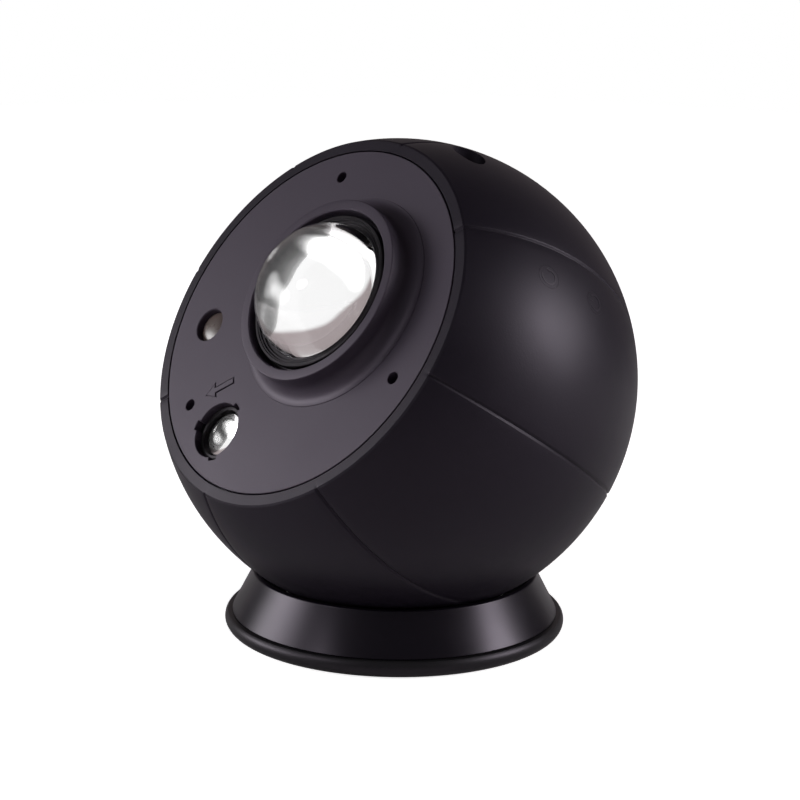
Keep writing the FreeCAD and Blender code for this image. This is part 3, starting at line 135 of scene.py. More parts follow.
def spin_outline(mesh, outline, steps, x=0.0, y=0.0, closed=True):
    """Adds a surface turned about the line through (x, y); returns its rings, one per outline point."""
    rings = []
    for radius, z in outline:
        ring = [mesh.verts.new((*on_circle(radius, 360 * i / steps, x, y), z)) for i in range(steps)]
        rings.append(ring)
    bridge(mesh, rings, closed)
    return rings


def ring_of(mesh, points, z):
    return [mesh.verts.new((px, py, z)) for px, py in points]


def fill_between(mesh, rings):
    """Fills a flat face bounded by the first ring and pierced by the others."""
    edges = []
    for ring in rings:
        for i, vert in enumerate(ring):
            pair = (vert, ring[(i + 1) % len(ring)])
            edges.append(mesh.edges.get(pair) or mesh.edges.new(pair))
    bmesh.ops.triangle_fill(mesh, use_beauty=True, use_dissolve=False, edges=edges)


def close_stack(mesh, levels):
    """A solid between flat ends, from (outline, z) levels."""
    rings = [ring_of(mesh, points, z) for points, z in levels]
    bridge(mesh, rings)
    for ring in (rings[0], rings[-1]):
        fill_between(mesh, [ring])


crisp_crease = 12.0


def mark_creases(mesh, crease, crisp_above=None):
    """Smooth faces with sharp edges past an angle; above a height even slight angles stay crisp."""
    for face in mesh.faces:
        face.smooth = True
    for edge in mesh.edges:
        if len(edge.link_faces) == 2:
            high = crisp_above is not None and min(v.co.z for v in edge.verts) > crisp_above
            edge.smooth = edge.calc_face_angle(0.0) < math.radians(crisp_crease if high else crease)


def add_object(name, data):
    made = bpy.data.objects.new(name, data)
    bpy.context.scene.collection.objects.link(made)
    return made


def to_object(name, mesh, crease=32.0, weld=0.0005, crisp_above=None):
    """Welds, turns the faces outwards, marks the creases and makes the object, still in millimetres."""
    bmesh.ops.remove_doubles(mesh, verts=mesh.verts, dist=weld)
    bmesh.ops.dissolve_degenerate(mesh, dist=weld / 5, edges=mesh.edges)
    bmesh.ops.recalc_face_normals(mesh, faces=mesh.faces)
    mark_creases(mesh, crease, crisp_above)
    data = bpy.data.meshes.new(name)
    mesh.to_mesh(data)
    mesh.free()
    return add_object(name, data)


def apply_modifiers(made):
    """Replaces the object's mesh by its evaluated one."""
    bpy.context.view_layer.update()
    seen = made.evaluated_get(bpy.context.evaluated_depsgraph_get())
    data = bpy.data.meshes.new_from_object(seen)
    made.modifiers.clear()
    old = made.data
    made.data = data
    bpy.data.meshes.remove(old)


def cut_away(made, cutters, crease=32.0, crisp_above=None):
    for cutter in cutters:
        boolean = made.modifiers.new("cut", "BOOLEAN")
        boolean.operation = "DIFFERENCE"
        boolean.solver = "EXACT"
        boolean.object = cutter
    apply_modifiers(made)
    for cutter in cutters:
        bpy.data.objects.remove(cutter)
    mesh = bmesh.new()
    mesh.from_mesh(made.data)
    mark_creases(mesh, crease, crisp_above)
    mesh.to_mesh(made.data)
    mesh.free()


def join(made, others):
    mesh = bmesh.new()
    for part in [made] + others:
        mesh.from_mesh(part.data)
    mesh.to_mesh(made.data)
    mesh.free()
    for part in others:
        bpy.data.objects.remove(part)


def finish_piece(made, body, material, replaces=()):
    """Puts the finished mesh in its place in metres and hands it to its body."""
    made.data.transform(on_table if body in ("base", "seat") else in_ball)
    made.data.name = made.name
    made.data.materials.clear()
    made.data.materials.append(finishes[material])
    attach(made, body)
    if replaces:
        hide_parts(*replaces)


def turned_piece(name, outline, body, material, replaces, slot, steps=192, x=0.0, y=0.0, crease=32.0):
    """A piece turned about the line through (x, y), from a closed outline."""
    mesh = bmesh.new()
    spin_outline(mesh, outline, steps, x, y)
    made = to_object(name, mesh, crease)
    finish_piece(made, body, material, replaces)


def rod_between(name, start, end, radius, steps=64):
    """A plain round cutter or rod from one point to another."""
    mesh = bmesh.new()
    axis = Vector(end) - Vector(start)
    ends = {"radius1": radius, "radius2": radius, "depth": axis.length}
    bmesh.ops.create_cone(mesh, cap_ends=True, segments=steps, **ends)
    turn = axis.to_track_quat("Z", "Y").to_matrix().to_4x4()
    mesh.transform(Matrix.Translation((Vector(start) + Vector(end)) / 2) @ turn)
    return to_object(name, mesh)


def block(name, low, high):
    """A plain box between two corners."""
    mesh = bmesh.new()
    bmesh.ops.create_cube(mesh, size=1.0)
    size, middle = Vector(high) - Vector(low), (Vector(low) + Vector(high)) / 2
    mesh.transform(Matrix.Translation(middle) @ Matrix.Diagonal((*size, 1.0)))
    return to_object(name, mesh)


# ---- what repeats
def repeat_tree():
    """Copies a piece onto every given place, each copy turned one more step, as one solid mesh."""
    tree = bpy.data.node_groups.new("repeat_piece", "GeometryNodeTree")
    sockets = tree.interface
    inputs = {}
    for name, kind in (("Places", "Geometry"), ("Piece", "Object"), ("Turn per copy", "Vector"),
                       ("Finish", "Material")):
        inputs[name] = sockets.new_socket(name, in_out="INPUT", socket_type="NodeSocket" + kind)
    sockets.new_socket("Copies", in_out="OUTPUT", socket_type="NodeSocketGeometry")
    given = tree.nodes.new("NodeGroupInput")
    result = tree.nodes.new("NodeGroupOutput")
    piece = tree.nodes.new("GeometryNodeObjectInfo")
    number = tree.nodes.new("GeometryNodeInputIndex")
    turn = tree.nodes.new("ShaderNodeVectorMath")
    turn.operation = "SCALE"
    copies = tree.nodes.new("GeometryNodeInstanceOnPoints")
    solid = tree.nodes.new("GeometryNodeRealizeInstances")
    finish = tree.nodes.new("GeometryNodeSetMaterial")
    links = ((given, "Piece", piece, "Object"), (given, "Turn per copy", turn, 0),
             (number, "Index", turn, "Scale"), (given, "Places", copies, "Points"),
             (piece, "Geometry", copies, "Instance"), (turn, "Vector", copies, "Rotation"),
             (copies, "Instances", solid, "Geometry"), (solid, "Geometry", finish, "Geometry"),
             (given, "Finish", finish, "Material"), (finish, "Geometry", result, "Copies"))
    for source, output, target, socket in links:
        tree.links.new(source.outputs[output], target.inputs[socket])
    return tree, inputs


repeat_group, repeat_inputs = repeat_tree()


def repeat_piece(name, single, places, turn, material):
    """One object that holds a copy of the single piece at each place."""
    data = bpy.data.meshes.new(name)
    data.from_pydata([tuple(place) for place in places], [], [])
    made = add_object(name, data)
    copies = made.modifiers.new("repeat", "NODES")
    copies.node_group = repeat_group
    for socket, value in (("Piece", single), ("Turn per copy", turn), ("Finish", finishes[material])):
        copies[repeat_inputs[socket].identifier] = value
    apply_modifiers(made)
    bpy.data.objects.remove(single)
    return made


def pan_screw(name, radius, length, head_radius, head_height, aim=(0, 0, 1)):
    """Round-edged pan head with a cross recess, its seat at the origin, the head towards aim."""
    edge = 0.35 * head_height
    tip_narrowing, tip_height = 0.3, 0.4
    mesh = bmesh.new()
    outline = [(0.0, -length), (radius - tip_narrowing, -length), (radius, -length + tip_height)]
    outline += [(radius, 0.0), (head_radius, 0.0)]
    outline += arc(head_radius - edge, head_height - edge, edge, 0, 90, 5) + [(0.0, head_height)]
    spin_outline(mesh, outline, 40)
    made = to_object(name, mesh)
    arm, half_width = 0.65 * head_radius, 0.14 * head_radius
    low, high = 0.5 * head_height, 1.5 * head_height
    slots = [block("slot", (-a, -b, low), (a, b, high)) for a, b in ((arm, half_width), (half_width, arm))]
    cut_away(made, slots)
    made.data.transform(Vector(aim).to_track_quat("Z", "Y").to_matrix().to_4x4())
    return made


# ---- materials
def node_material(name):
    material = bpy.data.materials.new(name)
    material.use_nodes = True
    tree = material.node_tree
    shader = tree.nodes["Principled BSDF"]
    place = tree.nodes.new("ShaderNodeTexCoord")
    return material, tree, shader, place


def new_node(tree, kind, **values):
    """A new node with its inputs set by name, an underscore standing for a space."""
    node = tree.nodes.new(kind)
    preset(node, **values)
    return node


def preset(node, **values):
    for name, value in values.items():
        node.inputs[name.replace("_", " ")].default_value = value


def noise(tree, place, scale, detail=4.0, roughness=0.55):
    texture = new_node(tree, "ShaderNodeTexNoise", Scale=scale, Detail=detail, Roughness=roughness)
    tree.links.new(place.outputs["Object"], texture.inputs["Vector"])
    return texture


def smooth_step(tree, source, low, high):
    step = new_node(tree, "ShaderNodeMapRange", From_Min=low, From_Max=high)
    step.interpolation_type = "SMOOTHSTEP"
    tree.links.new(source, step.inputs["Value"])
    return step.outputs["Result"]


def arithmetic(tree, operation, *sources):
    node = tree.nodes.new("ShaderNodeMath")
    node.operation = operation
    for socket, source in zip(node.inputs, sources):
        if isinstance(source, (int, float)):
            socket.default_value = source
        else:
            tree.links.new(source, socket)
    return node.outputs[0]


def vector_math(tree, operation, source, second=None):
    node = tree.nodes.new("ShaderNodeVectorMath")
    node.operation = operation
    tree.links.new(source, node.inputs[0])
    if second is not None:
        node.inputs[1].default_value = second
    return node.outputs["Vector" if operation == "SUBTRACT" else "Value"]


def blend_values(tree, source, low, high):
    """Stretches the middle of a noise's range over the two values."""
    spread = new_node(tree, "ShaderNodeMapRange", From_Min=0.3, From_Max=0.7, To_Min=low, To_Max=high)
    tree.links.new(source, spread.inputs["Value"])
    return spread.outputs["Result"]


def blend_colours(tree, source, low, high):
    mix = tree.nodes.new("ShaderNodeMix")
    mix.data_type = "RGBA"
    mix.inputs["A"].default_value = (*low, 1.0)
    mix.inputs["B"].default_value = (*high, 1.0)
    tree.links.new(source, mix.inputs["Factor"])
    return mix.outputs["Result"]


def scaled(colour, share):
    return tuple(part * share for part in colour)


def uneven(tree, shader, texture, colours, gloss):
    """Lets colour and roughness follow a texture between their two ends."""
    tree.links.new(blend_colours(tree, texture.outputs["Fac"], *colours), shader.inputs["Base Color"])
    tree.links.new(blend_values(tree, texture.outputs["Fac"], *gloss), shader.inputs["Roughness"])


def relief(tree, shader, texture, height, strength=1.0):
    bump = new_node(tree, "ShaderNodeBump", Strength=strength, Distance=height)
    tree.links.new(texture.outputs["Fac"], bump.inputs["Height"])
    tree.links.new(bump.outputs["Normal"], shader.inputs["Normal"])


plastic_tint = (0.95, 0.83, 1.0, 1.0)
colour_drift = 0.08
gloss_drift = 0.03
drift_scale = 38.0


def moulded(name, colour, roughness, specular, grain=2600.0, grain_height=0.000006):
    """Moulded plastic: even colour with a slow drift, spark-eroded grain in the bump, uneven gloss."""
    material, tree, shader, place = node_material(name)
    slow = noise(tree, place, drift_scale, detail=3.0)
    fine = noise(tree, place, grain, detail=3.0, roughness=0.6)
    ends = (scaled(colour, 1 - colour_drift), scaled(colour, 1 + colour_drift))
    uneven(tree, shader, slow, ends, (roughness - gloss_drift, roughness + gloss_drift))
    relief(tree, shader, fine, grain_height, strength=0.6)
    preset(shader, Specular_IOR_Level=specular, Specular_Tint=plastic_tint)
    return material


def metal(name, colour, roughness):
    material, tree, shader, place = node_material(name)
    fine = noise(tree, place, scale=900.0)
    dull, smoother, rougher = scaled(colour, 0.9), roughness - 0.05, roughness + 0.08
    uneven(tree, shader, fine, (dull, colour), (smoother, rougher))
    preset(shader, Metallic=1.0)
    return material


def clear_optic(name, ior, wave=0.0):
    """Clear moulded optic: uneven polish, and where asked the slow waves that moulding leaves."""
    material, tree, shader, place = node_material(name)
    faint = noise(tree, place, scale=120.0, detail=2.0)
    haze = blend_values(tree, faint.outputs["Fac"], low=0.0, high=0.006)
    tree.links.new(haze, shader.inputs["Roughness"])
    preset(shader, Base_Color=(1.0, 1.0, 1.0, 1.0), Transmission_Weight=1.0, IOR=ior)
    if wave:
        flow = noise(tree, place, scale=26.0, detail=0.0)
        preset(flow, Distortion=2.5)
        relief(tree, shader, flow, wave)
    return material


def smoked_window(name):
    """Infrared window: glossy, milky brown plastic that lets a little light in."""
    material, tree, shader, place = node_material(name)
    cloud = noise(tree, place, scale=220.0, detail=3.0)
    browns, gloss = ((0.085, 0.061, 0.056), (0.108, 0.08, 0.073)), (0.24, 0.32)
    uneven(tree, shader, cloud, browns, gloss)
    preset(shader, Subsurface_Weight=0.3, Subsurface_Radius=(1.0, 0.7, 0.5), Subsurface_Scale=0.001)
    preset(shader, Coat_Weight=0.2, Coat_Roughness=0.4)
    return material


# The face plate is the ball's black plastic. Its colour is about four times lighter than the ball's as
# painted sheen, standing in for the light that the flat face reflects.
face_colour_and_sheen, face_grain = (0.038, 0.030, 0.044), 1300.0
# Each moulded finish: colour, roughness, specular level, and where it differs the grain's scale and height.
plastics = {
    "ball_black": ((0.0090, 0.0070, 0.0120), 0.44, 0.28, 1500.0, 0.00004),
    # face plate and arrow: black plastic lightened by painted sheen
    "face_charcoal": (face_colour_and_sheen, 0.5, 0.48, face_grain, 0.00004),
    "arrow_smooth": (face_colour_and_sheen, 0.46, 0.46, face_grain, 0.00001),
    "symbol_grey": ((0.020, 0.017, 0.023), 0.38, 0.36),
    "base_black": ((0.0045, 0.0035, 0.0060), 0.32, 0.31, 1800.0, 0.000003),
    "foot_rubber": ((0.008, 0.008, 0.0085), 0.42, 0.35),
    "liner_black": ((0.006, 0.006, 0.0065), 0.6, 0.2),
    "barrel_black": ((0.006, 0.006, 0.006), 0.4, 0.3),
    "hidden_black": ((0.02, 0.02, 0.02), 0.5, 0.3),
    "seal_rubber": ((0.012, 0.012, 0.012), 0.5, 0.3),
    "gear_white": ((0.72, 0.71, 0.66), 0.4, 0.4),
    "board_green": ((0.02, 0.16, 0.05), 0.35, 0.5, 700.0),
    "board_white": ((0.75, 0.75, 0.73), 0.35, 0.5),
    "package_black": ((0.015, 0.015, 0.015), 0.45, 0.4),
    "led_yellow": ((0.85, 0.72, 0.25), 0.15, 0.5),
    "film_dark": ((0.01, 0.01, 0.015), 0.2, 0.5),
}
finishes = {name: moulded(name, *look) for name, look in plastics.items()}
finishes["window_smoke"] = smoked_window("window_smoke")
finishes["zinc"] = metal("zinc", (0.62, 0.62, 0.64), 0.35)
finishes["black_oxide"] = metal("black_oxide", (0.05, 0.05, 0.055), 0.4)
finishes["sink_aluminium"] = metal("sink_aluminium", (0.78, 0.79, 0.8), 0.35)
finishes["lens_clear"] = clear_optic("lens_clear", ior=1.52)
finishes["dome_clear"] = clear_optic("dome_clear", ior=1.52, wave=0.0009)

node_finishes = {
    "ball_black": "left_shell right_shell power_button rotation_button",
    "face_charcoal": "face_plate",
    "base_black": "base_ring",
    "foot_rubber": "foot_ring",
    "liner_black": "seat_liner",
    "barrel_black": "focus_barrel front_lens_retainer rear_lens_retainer meteor_cell",
    "hidden_black": "optical_chassis lamp_housing meteor_tube",
    "seal_rubber": "focus_seal_ring",
    "gear_white": "disc_carrier drive_pinion",
    "board_green": "meteor_lamp_board receiver_board button_board main_board",
    "board_white": "led_board",
    "package_black": "tact_switches board_components power_inlet film_frame power_plunger rotation_plunger",
    "led_yellow": "led_emitter meteor_lamp",
    "film_dark": "star_film meteor_film",
    "window_smoke": "receiver_window",
    "zinc": "shell_screws chassis_screws lamp_housing_screws heat_sink_screws gear_motor motor_screws "
            "button_board_screws main_board_screws",
    "black_oxide": "face_plate_screws",
    "sink_aluminium": "heat_sink",
    "lens_clear": "front_lens rear_lens condenser_front condenser_rear meteor_lens",
}
for finish, node_names in node_finishes.items():
    for node_name in node_names.split():
        for material_slot in nodes[node_name].material_slots:
            material_slot.material = finishes[finish]

# ---- ball shells
shell_screw_inset = 11.95
shell_screw_polars = (62.1, -62.1, 114.8, -114.8)
shell_screw_places = [on_circle(ball_radius - shell_screw_inset, 90 - polar) for polar in shell_screw_polars]
pocket_radius = 4.7
pocket_wall = 1.8
pocket_floor_x = -14.0
pocket_floor_thickness = 3.0
pocket_hole_radius = 1.55
pocket_cut_end = -16.0
button_spacing = 19.5
button_radius = 3.6
button_gap = 0.04
inlet_polar = 130.0
inlet_recess_radius = 6.5
inlet_recess_depth = 2.4
inlet_pad_thickness = 1.8
inlet_hole_radius = 4.1

button_axis = ball_turn.transposed() @ -Vector(joints["power_press"]["axis"])
button_across = button_axis.cross(Vector((0, 0, -1))).normalized()
button_away = button_across.cross(button_axis)
inlet_turn = math.radians(inlet_polar)
inlet_axis = Vector((0.0, math.sin(inlet_turn), math.cos(inlet_turn)))
inlet_floor = math.sqrt(ball_radius ** 2 - inlet_recess_radius ** 2) - inlet_recess_depth


# Across one groove: sideways step in half widths, and share of the depth.
groove_profile = ((-1.0, 0.0), (-0.8, 0.06), (-0.55, 0.35), (-0.3, 0.75), (0.0, 1.0),
                  (0.3, 0.75), (0.55, 0.35), (0.8, 0.06), (1.0, 0.0))


def shell_rows():
    """Section of the wall from the rear pole outside, over the rim, to the rear pole inside.

    Each row is (radius about the lens axis, z, inward step across and along the axis for a groove,
    depth of the parting line, depth of the other grooves)."""
    rows = []
    rim_polar = math.degrees(math.acos((face_height - face_rim_edge) / ball_radius))
    for z, radius in arc(0.0, 0.0, ball_radius, 180, rim_polar, 84):
        depth = groove_depth * min(1.0, max(0.0, radius - groove_pole_gap))
        rows.append((radius, z, -radius / ball_radius, -z / ball_radius, depth, depth))
    rim_side, well, ledge, fine = face_radius - face_rim_edge, plate_well_radius, ledge_inner_radius, 0.08
    for radius, z, *depths in ((rim_side, face_height, groove_depth, groove_depth * 0.4),
                               (rim_side - 0.5, face_height, groove_depth, 0.0),
                               (well + fine, face_height, groove_depth, 0.0),
                               (well, face_height - fine, groove_depth, 0.0), (well, plate_back, 0.0, 0.0),
                               (ledge, plate_back, 0.0, 0.0), (ledge, face_ledge_back, 0.0, 0.0)):
        rows.append((radius, z, 0.0, -1.0, *depths))
    start = math.degrees(math.acos(face_ledge_back / shell_inner_radius))
    inside = arc(0.0, 0.0, shell_inner_radius, start, 180, 36)
    return rows + [(radius, z, 0.0, 0.0, 0.0, 0.0) for z, radius in inside]


def shell_columns(radius, between=22):
    """Azimuths of one half, from the parting line round to it again; the grooves keep one width."""
    widest = 0.4 * groove_angle
    half = min(widest, math.degrees(groove_half_width / max(radius, 1e-3)))
    columns = []
    for groove in range(5):
        middle = groove * groove_angle
        for step, depth in groove_profile:
            if (groove == 0 and step < 0) or (groove == 4 and step > 0):
                continue
            columns.append((middle + step * half, depth, groove in (0, 4)))
        if groove < 4:
            start, end = middle + half, middle + groove_angle - half
            columns += [(start + (end - start) * i / between, 0.0, False) for i in range(1, between)]
    return columns


def shell_half(name, side):
    """One half of the ball; side is +1 to the right of the parting plane, -1 to its left."""
    mesh = bmesh.new()
    grid = []
    for radius, z, across, along, seam_depth, other_depth in shell_rows():
        line = []
        for azimuth, depth, seam in shell_columns(radius):
            sunk = depth * (seam_depth if seam else other_depth)
            r = max(0.0, radius + across * sunk)
            turn = math.radians(azimuth)
            line.append(mesh.verts.new((side * r * math.sin(turn), r * math.cos(turn), z + along * sunk)))
        grid.append(line)
    bridge(mesh, grid, around=False)
    mesh.faces.new([line[0] for line in grid] + [line[-1] for line in reversed(grid)])
    return to_object(name, mesh)


def screw_sleeve(y, z):
    """Tube from the screw pocket's mouth to the parting plane, its outer end run into the shell wall."""
    mesh = bmesh.new()
    steps = 48
    rings = []
    outer = pocket_radius + pocket_wall
    for radius, reach in ((outer, ball_radius - 1.2), (pocket_radius, ball_radius - 0.6)):
        ring = []
        for i in range(steps):
            py, pz = on_circle(radius, 360 * i / steps, y, z)
            ring.append(mesh.verts.new((-math.sqrt(max(reach ** 2 - py ** 2 - pz ** 2, 1.0)), py, pz)))
        rings.append(ring)
    inside = ((pocket_radius, pocket_floor_x), (pocket_hole_radius, pocket_floor_x),
              (pocket_hole_radius, pocket_floor_x + pocket_floor_thickness),
              (pocket_radius, pocket_floor_x + pocket_floor_thickness), (pocket_radius, -0.05),
              (outer, -0.05))
    for radius, x in inside:
        rings.append([mesh.verts.new((x, *on_circle(radius, 360 * i / steps, y, z))) for i in range(steps)])
    bridge(mesh, rings, closed=True)
    return to_object("sleeve", mesh)


def inlet_pad(side):
    """Half of the flat pad behind the inlet's recess, with half of the hole for the socket's nose."""
    mesh = bmesh.new()
    back = inlet_floor - inlet_pad_thickness
    outer = inlet_recess_radius + inlet_pad_thickness
    steps = 32
    x_way = Vector((side, 0, 0))
    y_way = inlet_axis.cross(Vector((1, 0, 0)))
    hole = inlet_hole_radius
    rings = []
    for radius, height in ((hole, inlet_floor), (outer, inlet_floor), (outer, back), (hole, back)):
        half_ring = arc(0.0, 0.0, radius, 0, 180, steps)
        rings.append([mesh.verts.new(inlet_axis * height + x_way * x + y_way * y) for y, x in half_ring])
    bridge(mesh, rings, closed=True, around=False)
    mesh.faces.new([ring[0] for ring in rings])
    mesh.faces.new([ring[-1] for ring in rings])
    return to_object("pad", mesh)


def inlet_recess():
    outside = ball_radius + 2
    return rod_between("recess", inlet_axis * inlet_floor, inlet_axis * outside, inlet_recess_radius)


def make_shells():
    crisp = face_height - face_rim_edge - 0.02
    left = shell_half("ball_shell_left", -1)
    pockets = [rod_between("pocket", (-ball_radius, y, z), (pocket_cut_end, y, z), pocket_radius)
               for y, z in shell_screw_places]
    cut_away(left, pockets + [inlet_recess()], crisp_above=crisp)
    join(left, [screw_sleeve(y, z) for y, z in shell_screw_places] + [inlet_pad(-1)])
    right = shell_half("ball_shell_right", 1)
    inside, outside = button_axis * (ball_radius - 15), button_axis * (ball_radius + 5)
    holes = []
    for along in (-button_spacing / 2, button_spacing / 2):
        foot = button_away * along
        holes.append(rod_between("hole", foot + inside, foot + outside, button_radius + button_gap))
    cut_away(right, holes + [inlet_recess()], crisp_above=crisp)
    join(right, [inlet_pad(1)])
    finish_piece(left, "ball", "ball_black", ["left_shell"])
    finish_piece(right, "ball", "ball_black", ["right_shell"])


def screw_set(name, single, places, turn, material, node):
    screws = repeat_piece(name, single, places, turn, material)
    finish_piece(screws, "ball", material, [node])


def make_screws():
    single = pan_screw("single", radius=1.45, length=16.0, head_radius=2.8, head_height=2.0, aim=(-1, 0, 0))
    places = [(pocket_floor_x, y, z) for y, z in shell_screw_places]
    turn = (0.9, 0.0, 0.0)
    screw_set("shell_screw_set", single, places, turn, "zinc", "shell_screws")
    single = pan_screw("single", radius=1.0, length=10.0, head_radius=1.6, head_height=1.5)
    places = [(*on_circle(plate_screw_circle, angle), plate_screw_floor) for angle in plate_screw_angles]
    turn = (0.0, 0.0, 0.8)
    screw_set("face_screw_set", single, places, turn, "black_oxide", "face_plate_screws")


# ---- face plate with its lens collar
meteor_centre = axis_place("meteor_lock")
meteor_hole_radius = 8.8
meteor_notch_reach = 1.2
meteor_notch_width = 3.0
meteor_notch_angles = (-13.0, 115.5, 235.0)
receiver_centre = on_circle(plate_radius - 14.2, -115.2)
receiver_hole_radius = 5.4
receiver_flange_radius = 6.9
receiver_socket_radius = 8.5
receiver_socket_height = 4.1
hole_edge = 0.2
arrow_tail = (meteor_centre[0] - 14.3, meteor_centre[1] + 7.7)
arrow_length = 11.0
arrow_width = 1.7
arrow_head_width = 4.7
arrow_head_length = 3.5
arrow_height = 0.22
arrow_moat = 0.4
arrow_moat_depth = 0.35
post_circle_radius = 38.5
post_angles = (60.0, 180.0, 270.0)
post_radius = 3.2
post_end = 3.9


def notched_circle(grow=0.0):
    """The bayonet opening: a circle with three notches, unevenly spread."""
    x, y = meteor_centre
    hole, reach = meteor_hole_radius + grow, meteor_hole_radius + meteor_notch_reach + grow
    half = meteor_notch_width / 2 + grow
    inner_half = math.degrees(math.asin(half / hole))
    outer_half = math.degrees(math.asin(half / reach))
    points = []
    after = meteor_notch_angles[1:] + (meteor_notch_angles[0] + 360.0,)
    for notch, next_notch in zip(meteor_notch_angles, after):
        points += arc(x, y, reach, notch - outer_half, notch + outer_half, 4)
        points += arc(x, y, hole, notch + inner_half, next_notch - inner_half, 22)
    return points


def arrow_outline(grow=0.0):
    x, y = arrow_tail
    tip = y - arrow_length - 1.6 * grow
    neck = y - arrow_length + arrow_head_length + grow
    half, wing = arrow_width / 2 + grow, arrow_head_width / 2 + 1.8 * grow
    return [(x - half, y + grow), (x - half, neck), (x - wing, neck), (x, tip), (x + wing, neck),
            (x + half, neck), (x + half, y + grow)]


def pierce(mesh, outline_at, depth, edge):
    """Walls of a hole with a fine edge; returns its rings at the face and at the bottom."""
    front = ring_of(mesh, outline_at(edge), face_height)
    lip = ring_of(mesh, outline_at(0.0), face_height - edge)
    foot = ring_of(mesh, outline_at(0.0), face_height - depth)
    bridge(mesh, [front, lip, foot])
    return front, foot


def collar_outline():
    """From the plate's face over the collar, down the bore and back up outside to the plate's back."""
    foot_z = face_height + collar_foot_step
    flare_radius = collar_radius + collar_flare
    front = face_height + collar_height
    step = front - collar_bore_depth
    lip, fine = collar_lip_chamfer, 0.06
    guard = 0.3                         # keeps the shading even up to an edge
    points = [(flare_radius + 2 * guard, face_height), (flare_radius + 2 * fine, face_height),
              (flare_radius + fine, foot_z - fine), (flare_radius - 0.02, foot_z)]
    points += arc(flare_radius - 0.1, foot_z + collar_flare, collar_flare, 270, 180, 14)
    points += arc(collar_radius - collar_edge, front - collar_edge, collar_edge, 0, 90, 6)
    bore, tube, outer = collar_bore_radius, tube_bore_radius, tube_bore_radius + tube_wall
    points += [(bore + lip + guard, front), (bore + lip, front), (bore, front - lip),
               (bore, front - lip - guard), (bore, step + 0.2), (tube, step - guard),
               (tube, step - 2 * guard), (tube, tube_rear), (outer, tube_rear), (outer, plate_back)]
    return points


def plate_screw_well(mesh, x, y):
    """Stepped well of one face screw; returns its rings at the face and at the back."""
    r, thread, boss = plate_screw_hole_radius, 1.1, 3.6
    boss_end = plate_screw_floor - 2.0
    guard, lip, lip_depth = 0.7, 0.15, 0.2
    outline = [(r + guard, face_height), (r + lip, face_height), (r, face_height - lip_depth),
               (r, plate_screw_floor), (thread, plate_screw_floor), (thread, boss_end),
               (boss, boss_end), (boss, plate_back)]
    rings = spin_outline(mesh, outline, 40, x, y, closed=False)
    return rings[0], rings[-1]


def receiver_socket(mesh):
    x, y = receiver_centre
    r = receiver_hole_radius
    low = plate_back - receiver_socket_height
    guard, lip, lip_depth = 0.9, 0.25, 0.3
    outline = [(r + guard, face_height), (r + lip, face_height), (r, face_height - lip_depth),
               (r, plate_back), (receiver_flange_radius, plate_back), (receiver_flange_radius, low),
               (receiver_socket_radius, low), (receiver_socket_radius, plate_back)]
    rings = spin_outline(mesh, outline, 64, x, y, closed=False)
    return rings[0], rings[-1]


def make_face_plate():
    mesh = bmesh.new()
    steps, guard = 240, 0.8
    face_side = plate_radius - plate_edge
    rim_outline = [(face_side - guard, face_height), (face_side, face_height),
                   (plate_radius, face_height - plate_edge), (plate_radius, plate_back)]
    rim = spin_outline(mesh, rim_outline, steps, closed=False)
    collar = spin_outline(mesh, collar_outline(), steps, 0.0, lens_offset, closed=False)
    openings = [(rim[0], rim[-1]), (collar[0], collar[-1])]
    for angle in plate_screw_angles:
        openings.append(plate_screw_well(mesh, *on_circle(plate_screw_circle, angle)))
    openings.append(receiver_socket(mesh))
    openings.append(pierce(mesh, notched_circle, plate_thickness, hole_edge))
    moat_outline = arrow_outline(arrow_moat)
    moat = [ring_of(mesh, moat_outline, face_height - depth) for depth in (0.0, arrow_moat_depth)]
    bridge(mesh, moat)
    fill_between(mesh, [moat[1]])
    front = [opening[0] for opening in openings] + [moat[0]]
    back = [opening[1] for opening in openings]
    for angle in post_angles:
        x, y = on_circle(post_circle_radius, angle, 0.0, lens_offset)
        outline = [(post_radius, plate_back), (post_radius, post_end)]
        post = spin_outline(mesh, outline, 32, x, y, closed=False)
        back.append(post[0])
        fill_between(mesh, [post[-1]])
    fill_between(mesh, front)
    fill_between(mesh, back)
    made = to_object("face_and_collar", mesh, crease=30.0)
    # the plate's finish is its black plastic lightened by painted sheen
    finish_piece(made, "ball", "face_charcoal", ["face_plate"])


def make_arrow():
    """The raised arrow that stands in a fine sunk outline, its foot let into the plate."""
    levels = ((0.0, -arrow_moat_depth - 0.1), (0.0, arrow_height - 0.07), (-0.07, arrow_height))
    mesh = bmesh.new()
    close_stack(mesh, [(arrow_outline(grow), face_height + rise) for grow, rise in levels])
    made = to_object("raised_arrow", mesh, crease=30.0)
    finish_piece(made, "ball", "arrow_smooth")


def make_receiver_window():
    edge_radius, height = 5.2, 1.4
    flange_radius, flange_back = receiver_flange_radius - 0.2, plate_back - 1.3
    outline = [(0.0, flange_back), (flange_radius, flange_back), (flange_radius, plate_back)]
    outline += dome(edge_radius, height, plate_back, 15)
    turned_piece("receiver_dome", outline, "ball", "window_smoke", ["receiver_window"], "receiver_window",
                 96, *receiver_centre)


# ---- shooting-star lens
def sector_block(mesh, inner, outer, half, middle, low, high):
    """A short tab with a round outer side."""
    x, y = meteor_centre
    for_outer = math.degrees(math.asin(half / outer))
    for_inner = math.degrees(math.asin(half / inner))
    points = arc(x, y, outer, middle - for_outer, middle + for_outer, 6)
    points += arc(x, y, inner, middle + for_inner, middle - for_inner, 6)
    close_stack(mesh, ((points, low), (points, high)))


